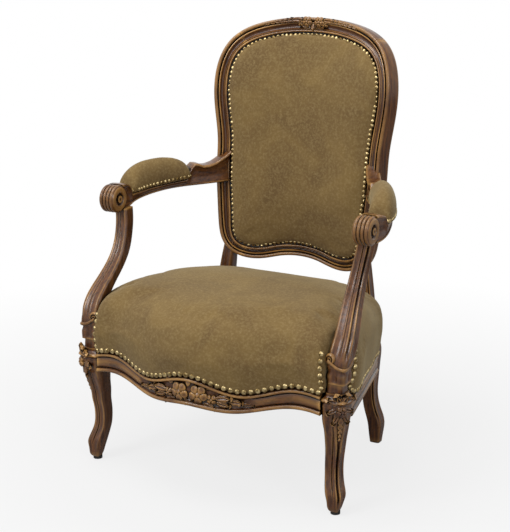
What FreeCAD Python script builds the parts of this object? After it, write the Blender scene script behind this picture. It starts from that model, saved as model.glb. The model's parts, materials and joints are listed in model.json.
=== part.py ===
import FreeCAD, Part
import os
from math import cos, pi, sin, sqrt

V = FreeCAD.Vector

# Further than any edge of the chair, for blanks and cuts that run past it
far = 1000.0

# A low show-wood armchair, in millimetres. X is across the seat, the front faces -Y and Z is up.
# Everything is drawn for the right-hand side (+X) and mirrored for the left.

# Front legs
glide_radius = 10.0
glide_height = 8.0
glide_pin_radius = 3.0
glide_pin_length = 14.0
glide_pin_gap = 1.0
front_leg_x = 292.0
front_leg_y = -210.0
front_toe_half = 12.0
front_foot_half = 16.5
front_ankle_half = 15.5
front_knee_half = 23.0
front_foot_height = 34.0
front_ankle_height = 98.0
front_calf_height = 158.0
front_calf_half = 17.0
front_knee_height = 212.0
ankle_sway_x = 10.0
ankle_sway_y = 13.0
ankle_sway = 1.0
calf_sway = 0.75
knee_sway = 0.15
knee_overlap = 8.0
leg_corner_share = 0.3

# Square blocks at the tops of the front legs
front_block_half = 25.0
front_block_top = 262.0
stump_half = 20.0

# Back legs and stiles
rear_foot_x = 212.0
rear_foot_y = 172.0
rear_foot_half = 12.0
rear_bulge_height = 46.0
rear_bulge_half = 17.0
rear_bulge_x = 209.0
rear_bulge_y = 178.0
rear_ankle_height = 110.0
rear_ankle_half = 15.0
rear_ankle_x = 197.0
rear_ankle_y = 168.0
rear_block_x = 193.5
rear_block_y = 165.0
rear_block_half = 22.5
rear_block_bottom = 172.0
rear_block_top = 250.0
rear_neck_step = 3.0
rear_neck_drop = 12.0
rear_knee_rise = 8.0
stile_half_width = 17.0
stile_half_depth = 16.0
stile_x = 178.0
stile_y = 172.0
stile_top_x = 168.0
stile_top_y = 181.0
stile_top_height = 446.0
stile_top_half = 10.5
stile_height = 345.0

# Plane in which the tops of all four seat rails lie
seat_plane_height = 283.0
seat_plane_slope = -0.0827

# Front rail
front_rail_end_y = -236.0
front_rail_bow = 68.0
rail_thickness = 34.0
front_rail_drop_centre = 210.0
front_rail_drop_shoulder = 203.0
front_rail_drop_rise = 220.0
front_rail_drop_end = 209.0
front_rail_shoulder_x = 100.0
front_rail_rise_x = 205.0
rail_bay_share = 0.42

# Line of nails along the foot of the seat cover
seat_nail_centre = 275.0
seat_nail_dip = 250.0
seat_nail_rise = 268.0
seat_nail_end = 255.0
seat_nail_dip_x = 114.0
seat_nail_rise_x = 205.0
side_nail_front = 250.0
side_nail_rear = 220.0
side_nail_fullness = 4.0
cover_rebate = 6.0
cover_rebate_gap = 8.0
cover_hem_gap = 0.5

# Side and back rails
side_rail_front_bottom = 204.0
side_rail_mid_bottom = 200.0
side_rail_rear_bottom = 178.0
side_rail_bow = 6.0
side_rail_bend_y = -20.0
rear_rail_thickness = 28.0
rear_rail_bottom = 184.0
rear_rail_rise = 14.0
rear_rail_inset = 6.0

# Joints of the seat frame
tenon_thickness = 10.0
tenon_height = 38.0
tenon_length = 17.0
joint_clearance = 0.2
tenon_root = 2.0
front_tenon_drop = 2.0
side_tenon_rise = 12.0
side_tenon_offset = 4.0
rear_tenon_offset = 2.0
rear_tenon_share = 0.6
peg_radius = 3.5
peg_sides = 8
peg_length = 24.0
peg_setback = 12.0
peg_depth = 6.0
dowel_radius = 6.0
dowel_length = 40.0

# Corner blocks and their screws
corner_block_leg = 78.0
corner_block_height = 34.0
corner_block_drop = 8.0
corner_block_slant = 14.0
corner_block_tilt = 6.0
corner_block_splay = 10.0
screw_radius = 2.0
screw_head_radius = 4.2
screw_head_height = 2.5
screw_length = 34.0
screw_spacing = 0.45
screw_head_setback = 14.0
screw_end_offset = 6.0

# Webbing, springs and the cloth over them
web_width = 50.0
web_thickness = 1.8
web_rebate = 14.0
web_drop = 52.0
web_cross_count = 5
web_long_count = 5
web_end_gap = 2.0
web_edge_gap = 0.5
web_side_margin = 12.0
web_front_lap = 8.0
web_front_limit = -260.0
spring_end_radius = 34.0
spring_waist_radius = 24.0
spring_wire = 3.2
spring_turns = 4
spring_sides = 6
spring_spread_x = 105.0
spring_spread_y = 95.0
spring_rear_share = 0.85
spring_middle_y = -35.0
hessian_thickness = 1.5
hessian_brim = 16.0
hessian_post_gap = 3.0
well_height = 48.0
well_inset = 4.0
dust_cover_thickness = 1.0

# Seat cushion
seat_crown_height = 404.0
seat_side_bulge = 7.0
seat_shoulder_height = 352.0
seat_top_round = 34.0
seat_crown_inset = 150.0
cushion_mean_radius = 250.0
cushion_foot_height = 190.0
cushion_corner_inset = 22.0
cushion_corner_y = -228.0
cushion_haunch_y = -190.0
cushion_front_side_y = -90.0
cushion_mid_side_y = 20.0
cushion_rear_side_y = 110.0
cushion_rear_corner = 30.0
cushion_rear_bow = 4.0
cushion_rear_gap = 2.0
post_gap = 1.5
soft_gap = 0.4

# Arm supports
support_top_height = 541.0
support_volute_height = 330.0
support_volute_radius = 13.0
support_flange = 7.0
support_flange_rise = 12.0
support_flange_inset = 5.0
support_volute_proud = 1.0
support_hand_drop = 21.0
support_rise_shares = (0.0, 0.19, 0.38, 0.57, 0.76)
support_dowel_x = 292.0
support_dowel_y = -86.0
support_dowel_share = 0.85
support_dowel_slimming = 1.5

# Middle and half width of the sections that the arm support is drawn through, from its foot to its head
support_foot = (295.0, -208.0, 19.0)
support_belly = (295.0, -201.0, 22.0)
support_shin = (296.0, -181.0, 20.5)
support_sweep = (289.0, -146.0, 18.0)
support_neck = (284.0, -114.0, 16.0)
support_wrist = (285.0, -95.0, 15.0)
support_hand = (288.0, -86.0, 15.0)
support_head = (292.0, -82.0, 15.0)
support_head_rise = 12.0

# Arms
arm_scroll_y = -110.0
arm_scroll_height = 568.0
arm_scroll_radius = 30.0
arm_scroll_half = 24.5
arm_scroll_x = 307.0
arm_joint_x = 196.0
arm_joint_bottom = 566.0
arm_joint_top = 642.0
arm_rear_half = 15.0
arm_joint_overlap = 14.0
arm_bow_share = 0.45
arm_plan_count = 10
arm_underside = 563.0
arm_wrist_y = -62.0
arm_middle_y = 40.0
arm_elbow_y = 110.0
arm_elbow_rise = 2.0
arm_neck_drop = 3.0
arm_neck_reach = 16.0
arm_pad_stop = 20.0
arm_lip_height = 606.0
arm_lip_crest = 618.0
arm_lip_length = 8.0
arm_hollow_height = 612.0
arm_hollow_reach = 22.0
arm_sweep_drop = 22.0
arm_tenon_half = 5.0
arm_tenon_half_height = 13.0
arm_tenon_reach = 12.0
arm_tenon_drop = 8.0
pad_seat_height = 570.0
pad_seat_rise = 14.0
pad_front_y = -58.0
pad_rear_y = 98.0
pad_crown_height = 632.0
pad_overhang = 4.0
pad_foot_inset = 5.0
pad_end_share = 0.75
pad_section_count = 9
pad_gap = 0.3
eye_radius = 10.0
eye_button = 6.0
eye_depth = 2.5
eye_offset_y = 6.0
eye_offset_z = 2.0

# Back: the face of the frame leans back and is hollow from side to side
back_y = 197.0
back_ref_height = 450.0
back_lean = 0.121
back_hollow = 0.001204

# Line of nails round the back cover: half widths, with each height a rise above the last
back_low_height = 418.0
back_low_x = 112.0
back_arch_rise = 16.0
back_arch_fullness = 2.0
back_corner_x = 150.0
back_corner_rise = 13.0
back_belly_x = 163.0
back_belly_rise = 49.0
back_arm_x = 172.0
back_arm_rise = 125.0
back_waist_x = 173.0
back_waist_rise = 60.0
back_broad_x = 186.0
back_broad_rise = 125.0
back_shoulder_x = 163.0
back_shoulder_rise = 75.0
back_crown_side_x = 97.0
back_crown_side_rise = 32.0
back_top_rise = 10.0
back_corner_height = back_low_height + back_corner_rise
back_belly_height = back_corner_height + back_belly_rise
back_arm_height = back_belly_height + back_arm_rise
back_waist_height = back_arm_height + back_waist_rise
back_broad_height = back_waist_height + back_broad_rise
back_shoulder_height = back_broad_height + back_shoulder_rise
back_crown_side_height = back_shoulder_height + back_crown_side_rise
back_top_height = back_crown_side_height + back_top_rise

# Section of the back frame
frame_inner = 9.0
frame_outer = 28.0
frame_depth = 34.0
frame_rebate = 6.0
frame_fillet_start = 4.0
frame_fillet_end = 8.0
frame_groove = 14.0
frame_cove = 4.0
frame_bead = 7.0
frame_edge = 1.0
frame_rear_round = 6.0
crest_joint_share = 0.80
lower_rail_joint_share = 0.17
crest_widening = 7.0
crest_widening_lead = 0.1
crest_widening_run = 0.15
cresting_rise = 43.0
cresting_foot = 4.0
cresting_half = 22.0
cresting_roll = 6.0
cresting_depth_share = 0.6
stile_span_count = 9
crest_span_count = 4
lower_rail_span_count = 3
back_dowel_radius = 4.5
back_dowel_length = 26.0
back_dowel_outset = 9.0
back_dowel_depth_share = 0.55
joint_step = 0.03

# Back upholstery
back_pad_crown = 24.0
back_pad_edge = 7.0
back_pad_levels = 6
back_region_count = 18
back_chord_count = 10
back_margin = 30.0
back_web_inset = 1.5
back_panel_lap = 0.8
back_pad_inset = 1.0
back_web_thickness = 1.8
back_web_count = 3
back_panel_thickness = 3.0


def line(a, b):
    return Part.LineSegment(a, b).toShape()


def spline(points, closed=False):
    curve = Part.BSplineCurve()
    curve.interpolate(Points=points, PeriodicFlag=closed)
    return curve.toShape()


def poly_face(points):
    return Part.Face(Part.makePolygon(points + [points[0]]))


def box(x0, x1, y0, y1, z0, z1):
    return Part.makeBox(x1 - x0, y1 - y0, z1 - z0, V(x0, y0, z0))


# A square block round a middle, between two heights
def block_at(x, y, half, low, high):
    return box(x - half, x + half, y - half, y + half, low, high)


def steps(a, b, count):
    return [a + (b - a) * k / count for k in range(count + 1)]


def mirror(shape):
    return shape.mirror(V(0, 0, 0), V(1, 0, 0))


def rod(radius, start, direction, length):
    return Part.makeCylinder(radius, length, start, direction)


# Pegs, dowels and screws are drawn with flats round them, as a riven peg has
def peg(radius, start, direction, length):
    around = direction.cross(V(0.0, 0.6, 0.8)).normalize()
    across = direction.cross(around)
    points = []
    for k in range(peg_sides):
        angle = 2 * pi * (k + 0.5) / peg_sides
        points.append(start + (around * cos(angle) + across * sin(angle)) * radius)
    return poly_face(points).extrude(direction * length)


def seat_plane(y, drop=0.0):
    return seat_plane_height + seat_plane_slope * (y - front_rail_end_y) - drop


# A rectangle with bevelled corners, lying flat at one height
def bevelled(x, y, z, hx, hy):
    r = min(hx, hy) * leg_corner_share
    right = [V(x + hx, y - hy + r, z), V(x + hx, y + hy - r, z), V(x + hx - r, y + hy, z)]
    left = [V(x - hx + r, y + hy, z), V(x - hx, y + hy - r, z), V(x - hx, y - hy + r, z)]
    points = right + left + [V(x - hx + r, y - hy, z), V(x + hx - r, y - hy, z)]
    return Part.makePolygon(points + [points[0]])


def rounded_square(x, y, z, half):
    return bevelled(x, y, z, half, half)


def front_leg():
    stations = [
        (glide_height, 0.0, front_toe_half),
        (front_foot_height, 0.0, front_foot_half),
        (front_ankle_height, ankle_sway, front_ankle_half),
        (front_calf_height, calf_sway, front_calf_half),
        (front_knee_height, knee_sway, front_knee_half),
    ]
    wires = []
    for height, sway, half in stations:
        x = front_leg_x - sway * ankle_sway_x
        y = front_leg_y + sway * ankle_sway_y
        wires.append(rounded_square(x, y, height, half))
    leg = Part.makeLoft(wires, True, False)
    b = front_block_half
    block = block_at(front_leg_x, front_leg_y, b, front_knee_height - knee_overlap, front_block_top)
    stump = box(front_leg_x - b, front_leg_x + stump_half, front_leg_y - stump_half, front_leg_y + b,
                front_knee_height, stump_top() + tenon_root)
    return leg.fuse([block, stump]).removeSplitter()


# The front leg's stump ends just above the seat plane, and is cut level with it
def stump_top():
    return seat_plane(front_leg_y)


# Height of the nail line, or of the rail's lower edge, across the front: middle, shoulder, rise and end
def across_front(middle, shoulder, shoulder_x, rise, rise_x, end):
    right = [(shoulder_x, shoulder), (rise_x, rise), (front_leg_x, end)]
    left = [(-x, z) for x, z in reversed(right)]
    return left + [(0.0, middle)] + right


def front_face_y(x, inset=0.0):
    reach = front_leg_x - front_block_half
    share = min(abs(x) / reach, 1.0)
    return front_rail_end_y - front_rail_bow * (0.5 + 0.5 * cos(pi * share)) + inset


def side_face_x(y, inset=0.0):
    y0, y1 = front_leg_y, rear_block_y
    x0, x1 = front_leg_x + front_block_half, rear_block_x + rear_block_half
    share = (y - y0) / (y1 - y0)
    return x0 + (x1 - x0) * share + side_rail_bow * sin(pi * min(max(share, 0.0), 1.0)) - inset


# The region between an upper or lower curve across the front and a flat line, as a slab along Y
def front_slab(curve, level):
    edge = spline([V(x, -far, z) for x, z in curve])
    a, b = edge.Vertexes[0].Point, edge.Vertexes[-1].Point
    c, d = V(b.x, b.y, level), V(a.x, a.y, level)
    return Part.Face(Part.Wire([edge, line(b, c), line(c, d), line(d, a)])).extrude(V(0, far, 0))


def front_plan(inset, depth):
    reach = front_leg_x - front_block_half
    edge = spline([V(x, front_face_y(x, inset), 0) for x in steps(-reach, reach, 8)])
    y_end = front_rail_end_y + depth
    bay = reach * rail_bay_share
    y_bay = front_face_y(bay) + depth
    a, b = edge.Vertexes[0].Point, edge.Vertexes[-1].Point
    inner = [V(reach, y_end, 0), V(bay, y_bay, 0), V(-bay, y_bay, 0), V(-reach, y_end, 0)]
    lines = [line(p, q) for p, q in zip([b] + inner, inner + [a])]
    return Part.Face(Part.Wire([edge] + lines)).extrude(V(0, 0, far))


def below_seat_plane(drop=0.0):
    points = [V(-far, -far, -far), V(-far, far, -far), V(-far, far, seat_plane(far, drop)),
              V(-far, -far, seat_plane(-far, drop))]
    return poly_face(points).extrude(V(2 * far, 0, 0))


def nail_curve():
    return across_front(seat_nail_centre, seat_nail_dip, seat_nail_dip_x, seat_nail_rise, seat_nail_rise_x,
                        seat_nail_end)


def shifted(curve, dz):
    return [(x, z + dz) for x, z in curve]


# Mortise and tenon pairs: a box, grown by the clearance for its mortise
def front_tenon(grow):
    x = front_leg_x - front_block_half
    y = front_leg_y
    t = tenon_thickness / 2 + grow
    low = front_rail_drop_rise - front_tenon_drop
    return box(x - tenon_root, x + tenon_length + grow, y - t, y + t, low - grow, low + tenon_height + grow)


def side_tenon(grow, rear):
    t = tenon_thickness / 2 + grow
    low = (side_rail_rear_bottom if rear else side_rail_front_bottom) + side_tenon_rise
    if rear:
        x, y = rear_block_x + side_tenon_offset, rear_block_y - rear_block_half
        return box(x - t, x + t, y - tenon_root, y + tenon_length + grow, low - grow, low + tenon_height + grow)
    x, y = front_leg_x + side_tenon_offset, front_leg_y + front_block_half
    return box(x - t, x + t, y - tenon_length - grow, y + tenon_root, low - grow, low + tenon_height + grow)


def rear_tenon(grow):
    x, y = rear_block_x - rear_block_half, rear_block_y + rear_tenon_offset
    t = tenon_thickness / 2 + grow
    low = rear_rail_bottom + side_tenon_rise
    reach = tenon_length * rear_tenon_share + grow
    return box(x - tenon_root, x + reach, y - t, y + t, low - grow, low + tenon_height + grow)


def peg_places():
    x, y = front_leg_x - front_block_half + tenon_length / 2, front_leg_y + front_block_half - tenon_length / 2
    z = front_rail_drop_rise - front_tenon_drop + tenon_height / 2
    places = [(V(x, front_leg_y + front_block_half - peg_setback, z), V(0, -1, 0))]
    z = side_rail_front_bottom + side_tenon_rise + tenon_height / 2
    places.append((V(front_leg_x + front_block_half - peg_length - peg_depth, y, z), V(1, 0, 0)))
    z = side_rail_rear_bottom + side_tenon_rise + tenon_height / 2
    y = rear_block_y - rear_block_half + tenon_length / 2
    places.append((V(rear_block_x - peg_setback, y, z), V(1, 0, 0)))
    return places


def pegs(radius):
    solids = []
    for start, direction in peg_places():
        one = peg(radius, start, direction, peg_length)
        solids += [one, mirror(one)]
    return solids


# Plan of the opening inside the seat rails, drawn in or out by an amount
def inner_plan(grow):
    reach = front_leg_x - front_block_half
    bay = reach * rail_bay_share
    y_bay = front_face_y(bay) + rail_thickness - grow
    y_end = front_rail_end_y + rail_thickness - grow
    right = [(bay, y_bay), (reach, y_end)]
    right += [(side_face_x(y, rail_thickness) + grow, y) for y in (y_end, side_rail_bend_y, rear_rail_y() + grow)]
    return right + [(-x, y) for x, y in reversed(right)]


def rear_rail_y():
    return rear_block_y + rear_block_half - rear_rail_inset - rear_rail_thickness


def inner_prism(grow):
    return poly_face([V(x, y, 0) for x, y in inner_plan(grow)]).extrude(V(0, 0, far))


# Square columns round the leg blocks, grown by an amount, on both sides
def leg_columns(grow):
    columns = []
    for x, y, half in ((front_leg_x, front_leg_y, front_block_half), (rear_block_x, rear_block_y, rear_block_half)):
        column = block_at(x, y, half + grow, 0, far)
        columns += [column, mirror(column)]
    return columns


# The step under the rails into which the webbing is nailed
def web_step():
    return inner_prism(web_rebate).common(below_seat_plane(web_drop)).cut(leg_columns(0))


def front_rail():
    lower = across_front(front_rail_drop_centre, front_rail_drop_shoulder, front_rail_shoulder_x,
                         front_rail_drop_rise, front_rail_rise_x, front_rail_drop_end)
    blank = front_plan(0, rail_thickness).common(front_slab(lower, far))
    covered = front_slab(shifted(nail_curve(), -cover_rebate_gap), far)
    rail = blank.cut(covered).fuse(blank.common(front_plan(cover_rebate, rail_thickness)))
    rail = rail.common(below_seat_plane()).cut(web_step())
    tenon = front_tenon(0)
    return rail.fuse([tenon.cut(rail), mirror(tenon).cut(rail)])


# Side rail: a strip in plan between its outer curve and its flat inner face
def side_plan(inset, depth):
    y0, y1 = front_leg_y + front_block_half, rear_block_y - rear_block_half
    edge = spline([V(side_face_x(y, inset), y, 0) for y in steps(y0, y1, 4)])
    a, b = edge.Vertexes[0].Point, edge.Vertexes[-1].Point
    inner = [V(side_face_x(y, depth), y, 0) for y in (y1, side_rail_bend_y, y0)]
    lines = [line(p, q) for p, q in zip([b] + inner, inner + [a])]
    return Part.Face(Part.Wire([edge] + lines)).extrude(V(0, 0, far))


def side_slab(points, level):
    edge = spline([V(0, y, z) for y, z in points])
    a, b = edge.Vertexes[0].Point, edge.Vertexes[-1].Point
    c, d = V(0, b.y, level), V(0, a.y, level)
    return Part.Face(Part.Wire([edge, line(b, c), line(c, d), line(d, a)])).extrude(V(far, 0, 0))


def side_nails():
    y0, y1 = front_leg_y, rear_block_y + rear_block_half
    middle = (side_nail_front + side_nail_rear) / 2 + side_nail_fullness
    return [(y0, side_nail_front), ((y0 + y1) / 2, middle), (y1, side_nail_rear)]


def side_rail():
    y0, y1 = front_leg_y + front_block_half, rear_block_y - rear_block_half
    lower = [(y0 - tenon_root, side_rail_front_bottom), ((y0 + y1) / 2, side_rail_mid_bottom),
             (y1 + tenon_root, side_rail_rear_bottom)]
    blank = side_plan(0, rail_thickness).common(side_slab(lower, far))
    upper = side_slab([(y, z - cover_rebate_gap) for y, z in side_nails()], far)
    rail = blank.cut(upper).fuse(blank.common(side_plan(cover_rebate, rail_thickness)))
    rail = rail.common(below_seat_plane()).cut(web_step())
    tenons = [side_tenon(0, False).cut(rail), side_tenon(0, True).cut(rail)]
    return rail.fuse(tenons)


def rear_rail():
    x = rear_block_x - rear_block_half
    y0 = rear_rail_y()
    y1 = y0 + rear_rail_thickness
    arch = Part.Arc(V(-x, y0, rear_rail_bottom), V(0, y0, rear_rail_bottom + rear_rail_rise),
                    V(x, y0, rear_rail_bottom)).toShape()
    a, b = V(x, y0, far), V(-x, y0, far)
    wire = Part.Wire([arch, line(V(x, y0, rear_rail_bottom), a), line(a, b), line(b, V(-x, y0, rear_rail_bottom))])
    blank = Part.Face(wire).extrude(V(0, y1 - y0, 0)).common(below_seat_plane())
    blank = blank.cut(web_step())
    tenon = rear_tenon(0)
    return blank.fuse([tenon.cut(blank), mirror(tenon).cut(blank)])


# The hollow, leaning face of the back
def back_face(x, z):
    return V(x, back_y + back_lean * (z - back_ref_height) - back_hollow * x * x, z)


def back_normal(x):
    n = V(2 * back_hollow * x, 1, -back_lean)
    return n.normalize()


# The nail line of the back from the middle of its foot, up the right side, to the middle of its top
def back_line():
    points = [
        (0, back_low_height + back_arch_rise),
        (back_low_x / 2, back_low_height + back_arch_rise / 2 + back_arch_fullness),
        (back_low_x, back_low_height), (back_corner_x, back_corner_height), (back_belly_x, back_belly_height),
        (back_arm_x, back_arm_height), (back_waist_x, back_waist_height), (back_broad_x, back_broad_height),
        (back_shoulder_x, back_shoulder_height), (back_crown_side_x, back_crown_side_height), (0, back_top_height),
    ]
    curve = Part.BSplineCurve()
    curve.interpolate(Points=[V(x, 0, z) for x, z in points], InitialTangent=V(1, 0, 0), FinalTangent=V(-1, 0, 0))
    return curve


def on_back_line(curve, t, outset=0.0, depth=0.0):
    u = curve.FirstParameter + (curve.LastParameter - curve.FirstParameter) * t
    p, tangent = curve.value(u), curve.tangent(u)[0]
    side = V(tangent.z, 0, -tangent.x)
    reach = V(side.x, back_lean * side.z - 2 * back_hollow * p.x * side.x, side.z).normalize()
    return back_face(p.x, p.z) + reach * outset + back_normal(p.x) * depth


def frame_section(curve, t):
    share = min(max((t - crest_joint_share + crest_widening_lead) / crest_widening_run, 0.0), 1.0)
    outer = frame_outer + crest_widening * share
    d = frame_depth
    profile = [
        (-frame_inner, frame_rebate), (frame_fillet_start, frame_rebate), (frame_fillet_start, 0),
        (frame_fillet_end, 0), (outer - frame_groove, frame_cove), (outer - frame_bead, 0),
        (outer - frame_edge, frame_edge), (outer, d - frame_rear_round), (outer - frame_rear_round, d),
        (-frame_inner, d),
    ]
    points = [on_back_line(curve, t, u, v) for u, v in profile]
    return Part.makePolygon(points + [points[0]])


def frame_member(curve, shares, both_sides):
    wires = [frame_section(curve, t) for t in shares]
    if both_sides:
        wires += [mirror(w) for w in reversed(wires[:-1])]
    return Part.makeLoft(wires, True, False)


def frame_tenon(curve, t, grow):
    a, b = [on_back_line(curve, t + step, back_dowel_outset, frame_depth * back_dowel_depth_share)
            for step in (-joint_step, joint_step)]
    direction = (b - a).normalize()
    start = (a + b) * 0.5 - direction * (back_dowel_length / 2)
    return peg(back_dowel_radius + grow, start, direction, back_dowel_length)


def lower_back_rail():
    curve = back_line()
    rail = frame_member(curve, steps(lower_rail_joint_share, 0.0, lower_rail_span_count), True)
    hole = frame_tenon(curve, lower_rail_joint_share, joint_clearance)
    return rail.cut(hole).cut(mirror(hole))


def crest_rail():
    curve = back_line()
    rail = frame_member(curve, steps(crest_joint_share, 1.0, crest_span_count), True)
    hole = frame_tenon(curve, crest_joint_share, joint_clearance)
    return rail.fuse(cresting(curve)).cut(hole).cut(mirror(hole))


# Carved cresting: a leaf of three lobes that stands up from the middle of the crest and rolls forward
def cresting(curve):
    foot = on_back_line(curve, 1.0, cresting_foot, 0)
    rise = back_top_height + cresting_rise - foot.z
    lobes = [(0, 0), (0.55, 0.3), (1.0, 0.62), (0.95, 0.86), (0.6, 0.9), (0.38, 1.0), (0, 0.93)]
    wires = []
    for depth, size in ((-cresting_roll, 0.7), (0.0, 1.0), (frame_depth * cresting_depth_share, 0.9)):
        right = [V(u * cresting_half * size, foot.y + depth, foot.z + rise * (1 - size + w * size)) for u, w in lobes]
        left = [V(-p.x, p.y, p.z) for p in reversed(right[1:-1])]
        wires.append(Part.makePolygon(right + left + [right[0]]))
    return Part.makeLoft(wires, True, True)


def back_frame_dowels():
    curve = back_line()
    solids = []
    for t in (lower_rail_joint_share, crest_joint_share):
        dowel = frame_tenon(curve, t, 0)
        solids += [dowel, mirror(dowel)]
    return Part.makeCompound(solids)


def rear_foot():
    return Part.makeLoft([
        rounded_square(rear_foot_x, rear_foot_y, 0, rear_foot_half),
        rounded_square(rear_bulge_x, rear_bulge_y, rear_bulge_height, rear_bulge_half),
        rounded_square(rear_ankle_x, rear_ankle_y, rear_ankle_height, rear_ankle_half),
        rounded_square(rear_block_x, rear_block_y, rear_block_bottom + rear_knee_rise, rear_block_half - rear_neck_step),
    ], True, False)


def lower_stile():
    x, y = (rear_block_x + stile_x) / 2, (rear_block_y + stile_y) / 2
    return Part.makeLoft([
        rounded_square(rear_block_x - rear_neck_step, rear_block_y, rear_block_top - rear_neck_drop,
                       rear_block_half - rear_neck_step),
        bevelled(x, y, (rear_block_top + stile_height) / 2, stile_half_width, stile_half_depth),
        bevelled(stile_x, stile_y, stile_height, stile_half_width, stile_half_depth),
        rounded_square(stile_top_x, stile_top_y, stile_top_height, stile_top_half),
    ], True, False)


def rear_leg():
    block = block_at(rear_block_x, rear_block_y, rear_block_half, rear_block_bottom, rear_block_top)
    curve = back_line()
    stile = frame_member(curve, steps(lower_rail_joint_share, crest_joint_share, stile_span_count), False)
    leg = rear_foot().fuse([block, lower_stile(), stile])
    seat = box(arm_joint_x, far, 0, far, arm_joint_bottom - tenon_root, arm_joint_top + tenon_root)
    cuts = [seat, side_tenon(joint_clearance, True), rear_tenon(joint_clearance), arm_tenon(joint_clearance)]
    cuts += [frame_tenon(curve, t, joint_clearance) for t in (lower_rail_joint_share, crest_joint_share)]
    cuts += pegs(peg_radius)
    return leg.cut(cuts)


def arm_tenon(grow):
    z = (arm_joint_bottom + arm_joint_top) / 2 - arm_tenon_drop
    half, high = arm_tenon_half + grow, arm_tenon_half_height + grow
    y = arm_rear_y()
    return box(arm_joint_x - arm_tenon_reach - grow, arm_joint_x + arm_joint_overlap, y - half, y + half, z - high, z + high)


def arm_rear_y():
    return back_face(arm_joint_x, back_arm_height).y + frame_depth * 0.45


# Plan of the arm: its middle line from the scroll to the stile, with its half width at each point
def arm_middle(share):
    bow = (1 - cos(pi * share)) / 2
    reach = arm_bow_share * share * share + (1 - arm_bow_share) * bow
    x = arm_scroll_x + (arm_joint_x - arm_joint_overlap - arm_scroll_x) * reach
    return V(x, arm_scroll_y + (arm_end_y() - arm_scroll_y) * share, 0)


def arm_end_y():
    return arm_rear_y() + pad_overhang


def arm_half(share):
    return arm_scroll_half + (arm_rear_half - arm_scroll_half) * share


def arm_side(share):
    d = arm_middle(share + 0.01) - arm_middle(share - 0.01)
    return V(d.y, -d.x, 0).normalize()


def arm_share(y):
    return (y - arm_scroll_y) / (arm_end_y() - arm_scroll_y)


def arm_plan():
    shares = steps(0.0, 1.0, arm_plan_count)
    outer = [arm_middle(s) + arm_side(s) * arm_half(s) for s in shares]
    inner = [arm_middle(s) - arm_side(s) * arm_half(s) for s in shares]
    front = V(0, -2 * arm_scroll_radius, 0)
    points = [outer[0] + front] + outer + inner[::-1] + [inner[0] + front]
    return poly_face(points).extrude(V(0, 0, far))


def pad_base(y):
    return pad_seat_height + pad_seat_rise * (y - pad_front_y) / (pad_rear_y - pad_front_y)


# Side view of the arm: scroll, seat for the pad, lip behind it and sweep up to the stile
def arm_profile():
    cy, cz, r = arm_scroll_y, arm_scroll_height, arm_scroll_radius
    end = arm_rear_y() + cover_rebate + pad_overhang
    at = lambda y, z: V(0, y, z)
    chin = at(cy + pad_overhang, cz - r)
    under = spline([chin, at(arm_wrist_y, support_top_height), at(arm_middle_y, arm_underside),
                    at(arm_elbow_y, arm_underside + arm_elbow_rise), at(end, arm_joint_bottom)])
    lip = at(pad_rear_y, arm_lip_height)
    rise = spline([at(end, arm_joint_top), at(end - arm_hollow_reach, arm_joint_top - arm_sweep_drop),
                   at(pad_rear_y + arm_hollow_reach, arm_hollow_height), at(pad_rear_y + arm_lip_length, arm_lip_crest), lip])
    rear, front = at(pad_rear_y, pad_base(pad_rear_y)), at(pad_front_y, pad_base(pad_front_y))
    stop = front + V(0, 0, arm_pad_stop)
    neck = spline([stop, at(pad_front_y - arm_neck_reach, cz + r - arm_neck_drop), at(cy, cz + r)])
    nose = Part.Arc(at(cy, cz + r), at(cy - r, cz), chin).toShape()
    ends = [line(at(end, arm_joint_bottom), at(end, arm_joint_top)), line(lip, rear), line(rear, front), line(front, stop)]
    return Part.Face(Part.Wire([under, ends[0], rise] + ends[1:] + [neck, nose])).extrude(V(far, 0, 0))


# The ring cut round the eye in the inner cheek of the scroll
def scroll_eye():
    middle = V(arm_scroll_x - arm_scroll_half - eye_depth, arm_scroll_y + eye_offset_y, arm_scroll_height - eye_offset_z)
    ring = rod(eye_radius, middle, V(1, 0, 0), 2 * eye_depth)
    return ring.cut(rod(eye_button, middle, V(1, 0, 0), 2 * eye_depth))


def arm():
    solid = arm_profile().common(arm_plan()).common(box(arm_joint_x, far, -far, far, 0, far))
    top = support_stations()[-1]
    seat = Part.Face(rounded_square(top[1], top[2], 0, top[3] + 1)).extrude(V(0, 0, support_top_height))
    solid = solid.cut([scroll_eye(), seat, support_dowel(joint_clearance, True)])
    return solid.fuse(arm_tenon(0).common(box(0, arm_joint_x, 0, far, 0, far)))


# Middle line of the arm support: it stands on the stump, leans back and curls up to the scroll
def support_stations():
    length = support_top_height - support_volute_height
    heights = [stump_top() - tenon_root] + [support_volute_height + length * share for share in support_rise_shares]
    heights += [support_top_height - support_hand_drop, support_top_height + support_head_rise]
    places = [support_foot, support_belly, support_shin, support_sweep, support_neck, support_wrist, support_hand,
              support_head]
    return [(z,) + place for z, place in zip(heights, places)]


def support_dowel(grow, top):
    z = support_top_height if top else stump_top()
    x, y = (support_dowel_x, support_dowel_y) if top else support_foot[:2]
    half = dowel_length / 2
    length = dowel_length * (support_dowel_share if top else 1) + 2 * grow
    radius = dowel_radius - (support_dowel_slimming if top else 0) + grow
    return peg(radius, V(x, y, z - half - grow), V(0, 0, 1), length)


def support_post(grow):
    return Part.makeLoft([rounded_square(x, y, z, h + grow) for z, x, y, h in support_stations()], True, False)


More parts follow.
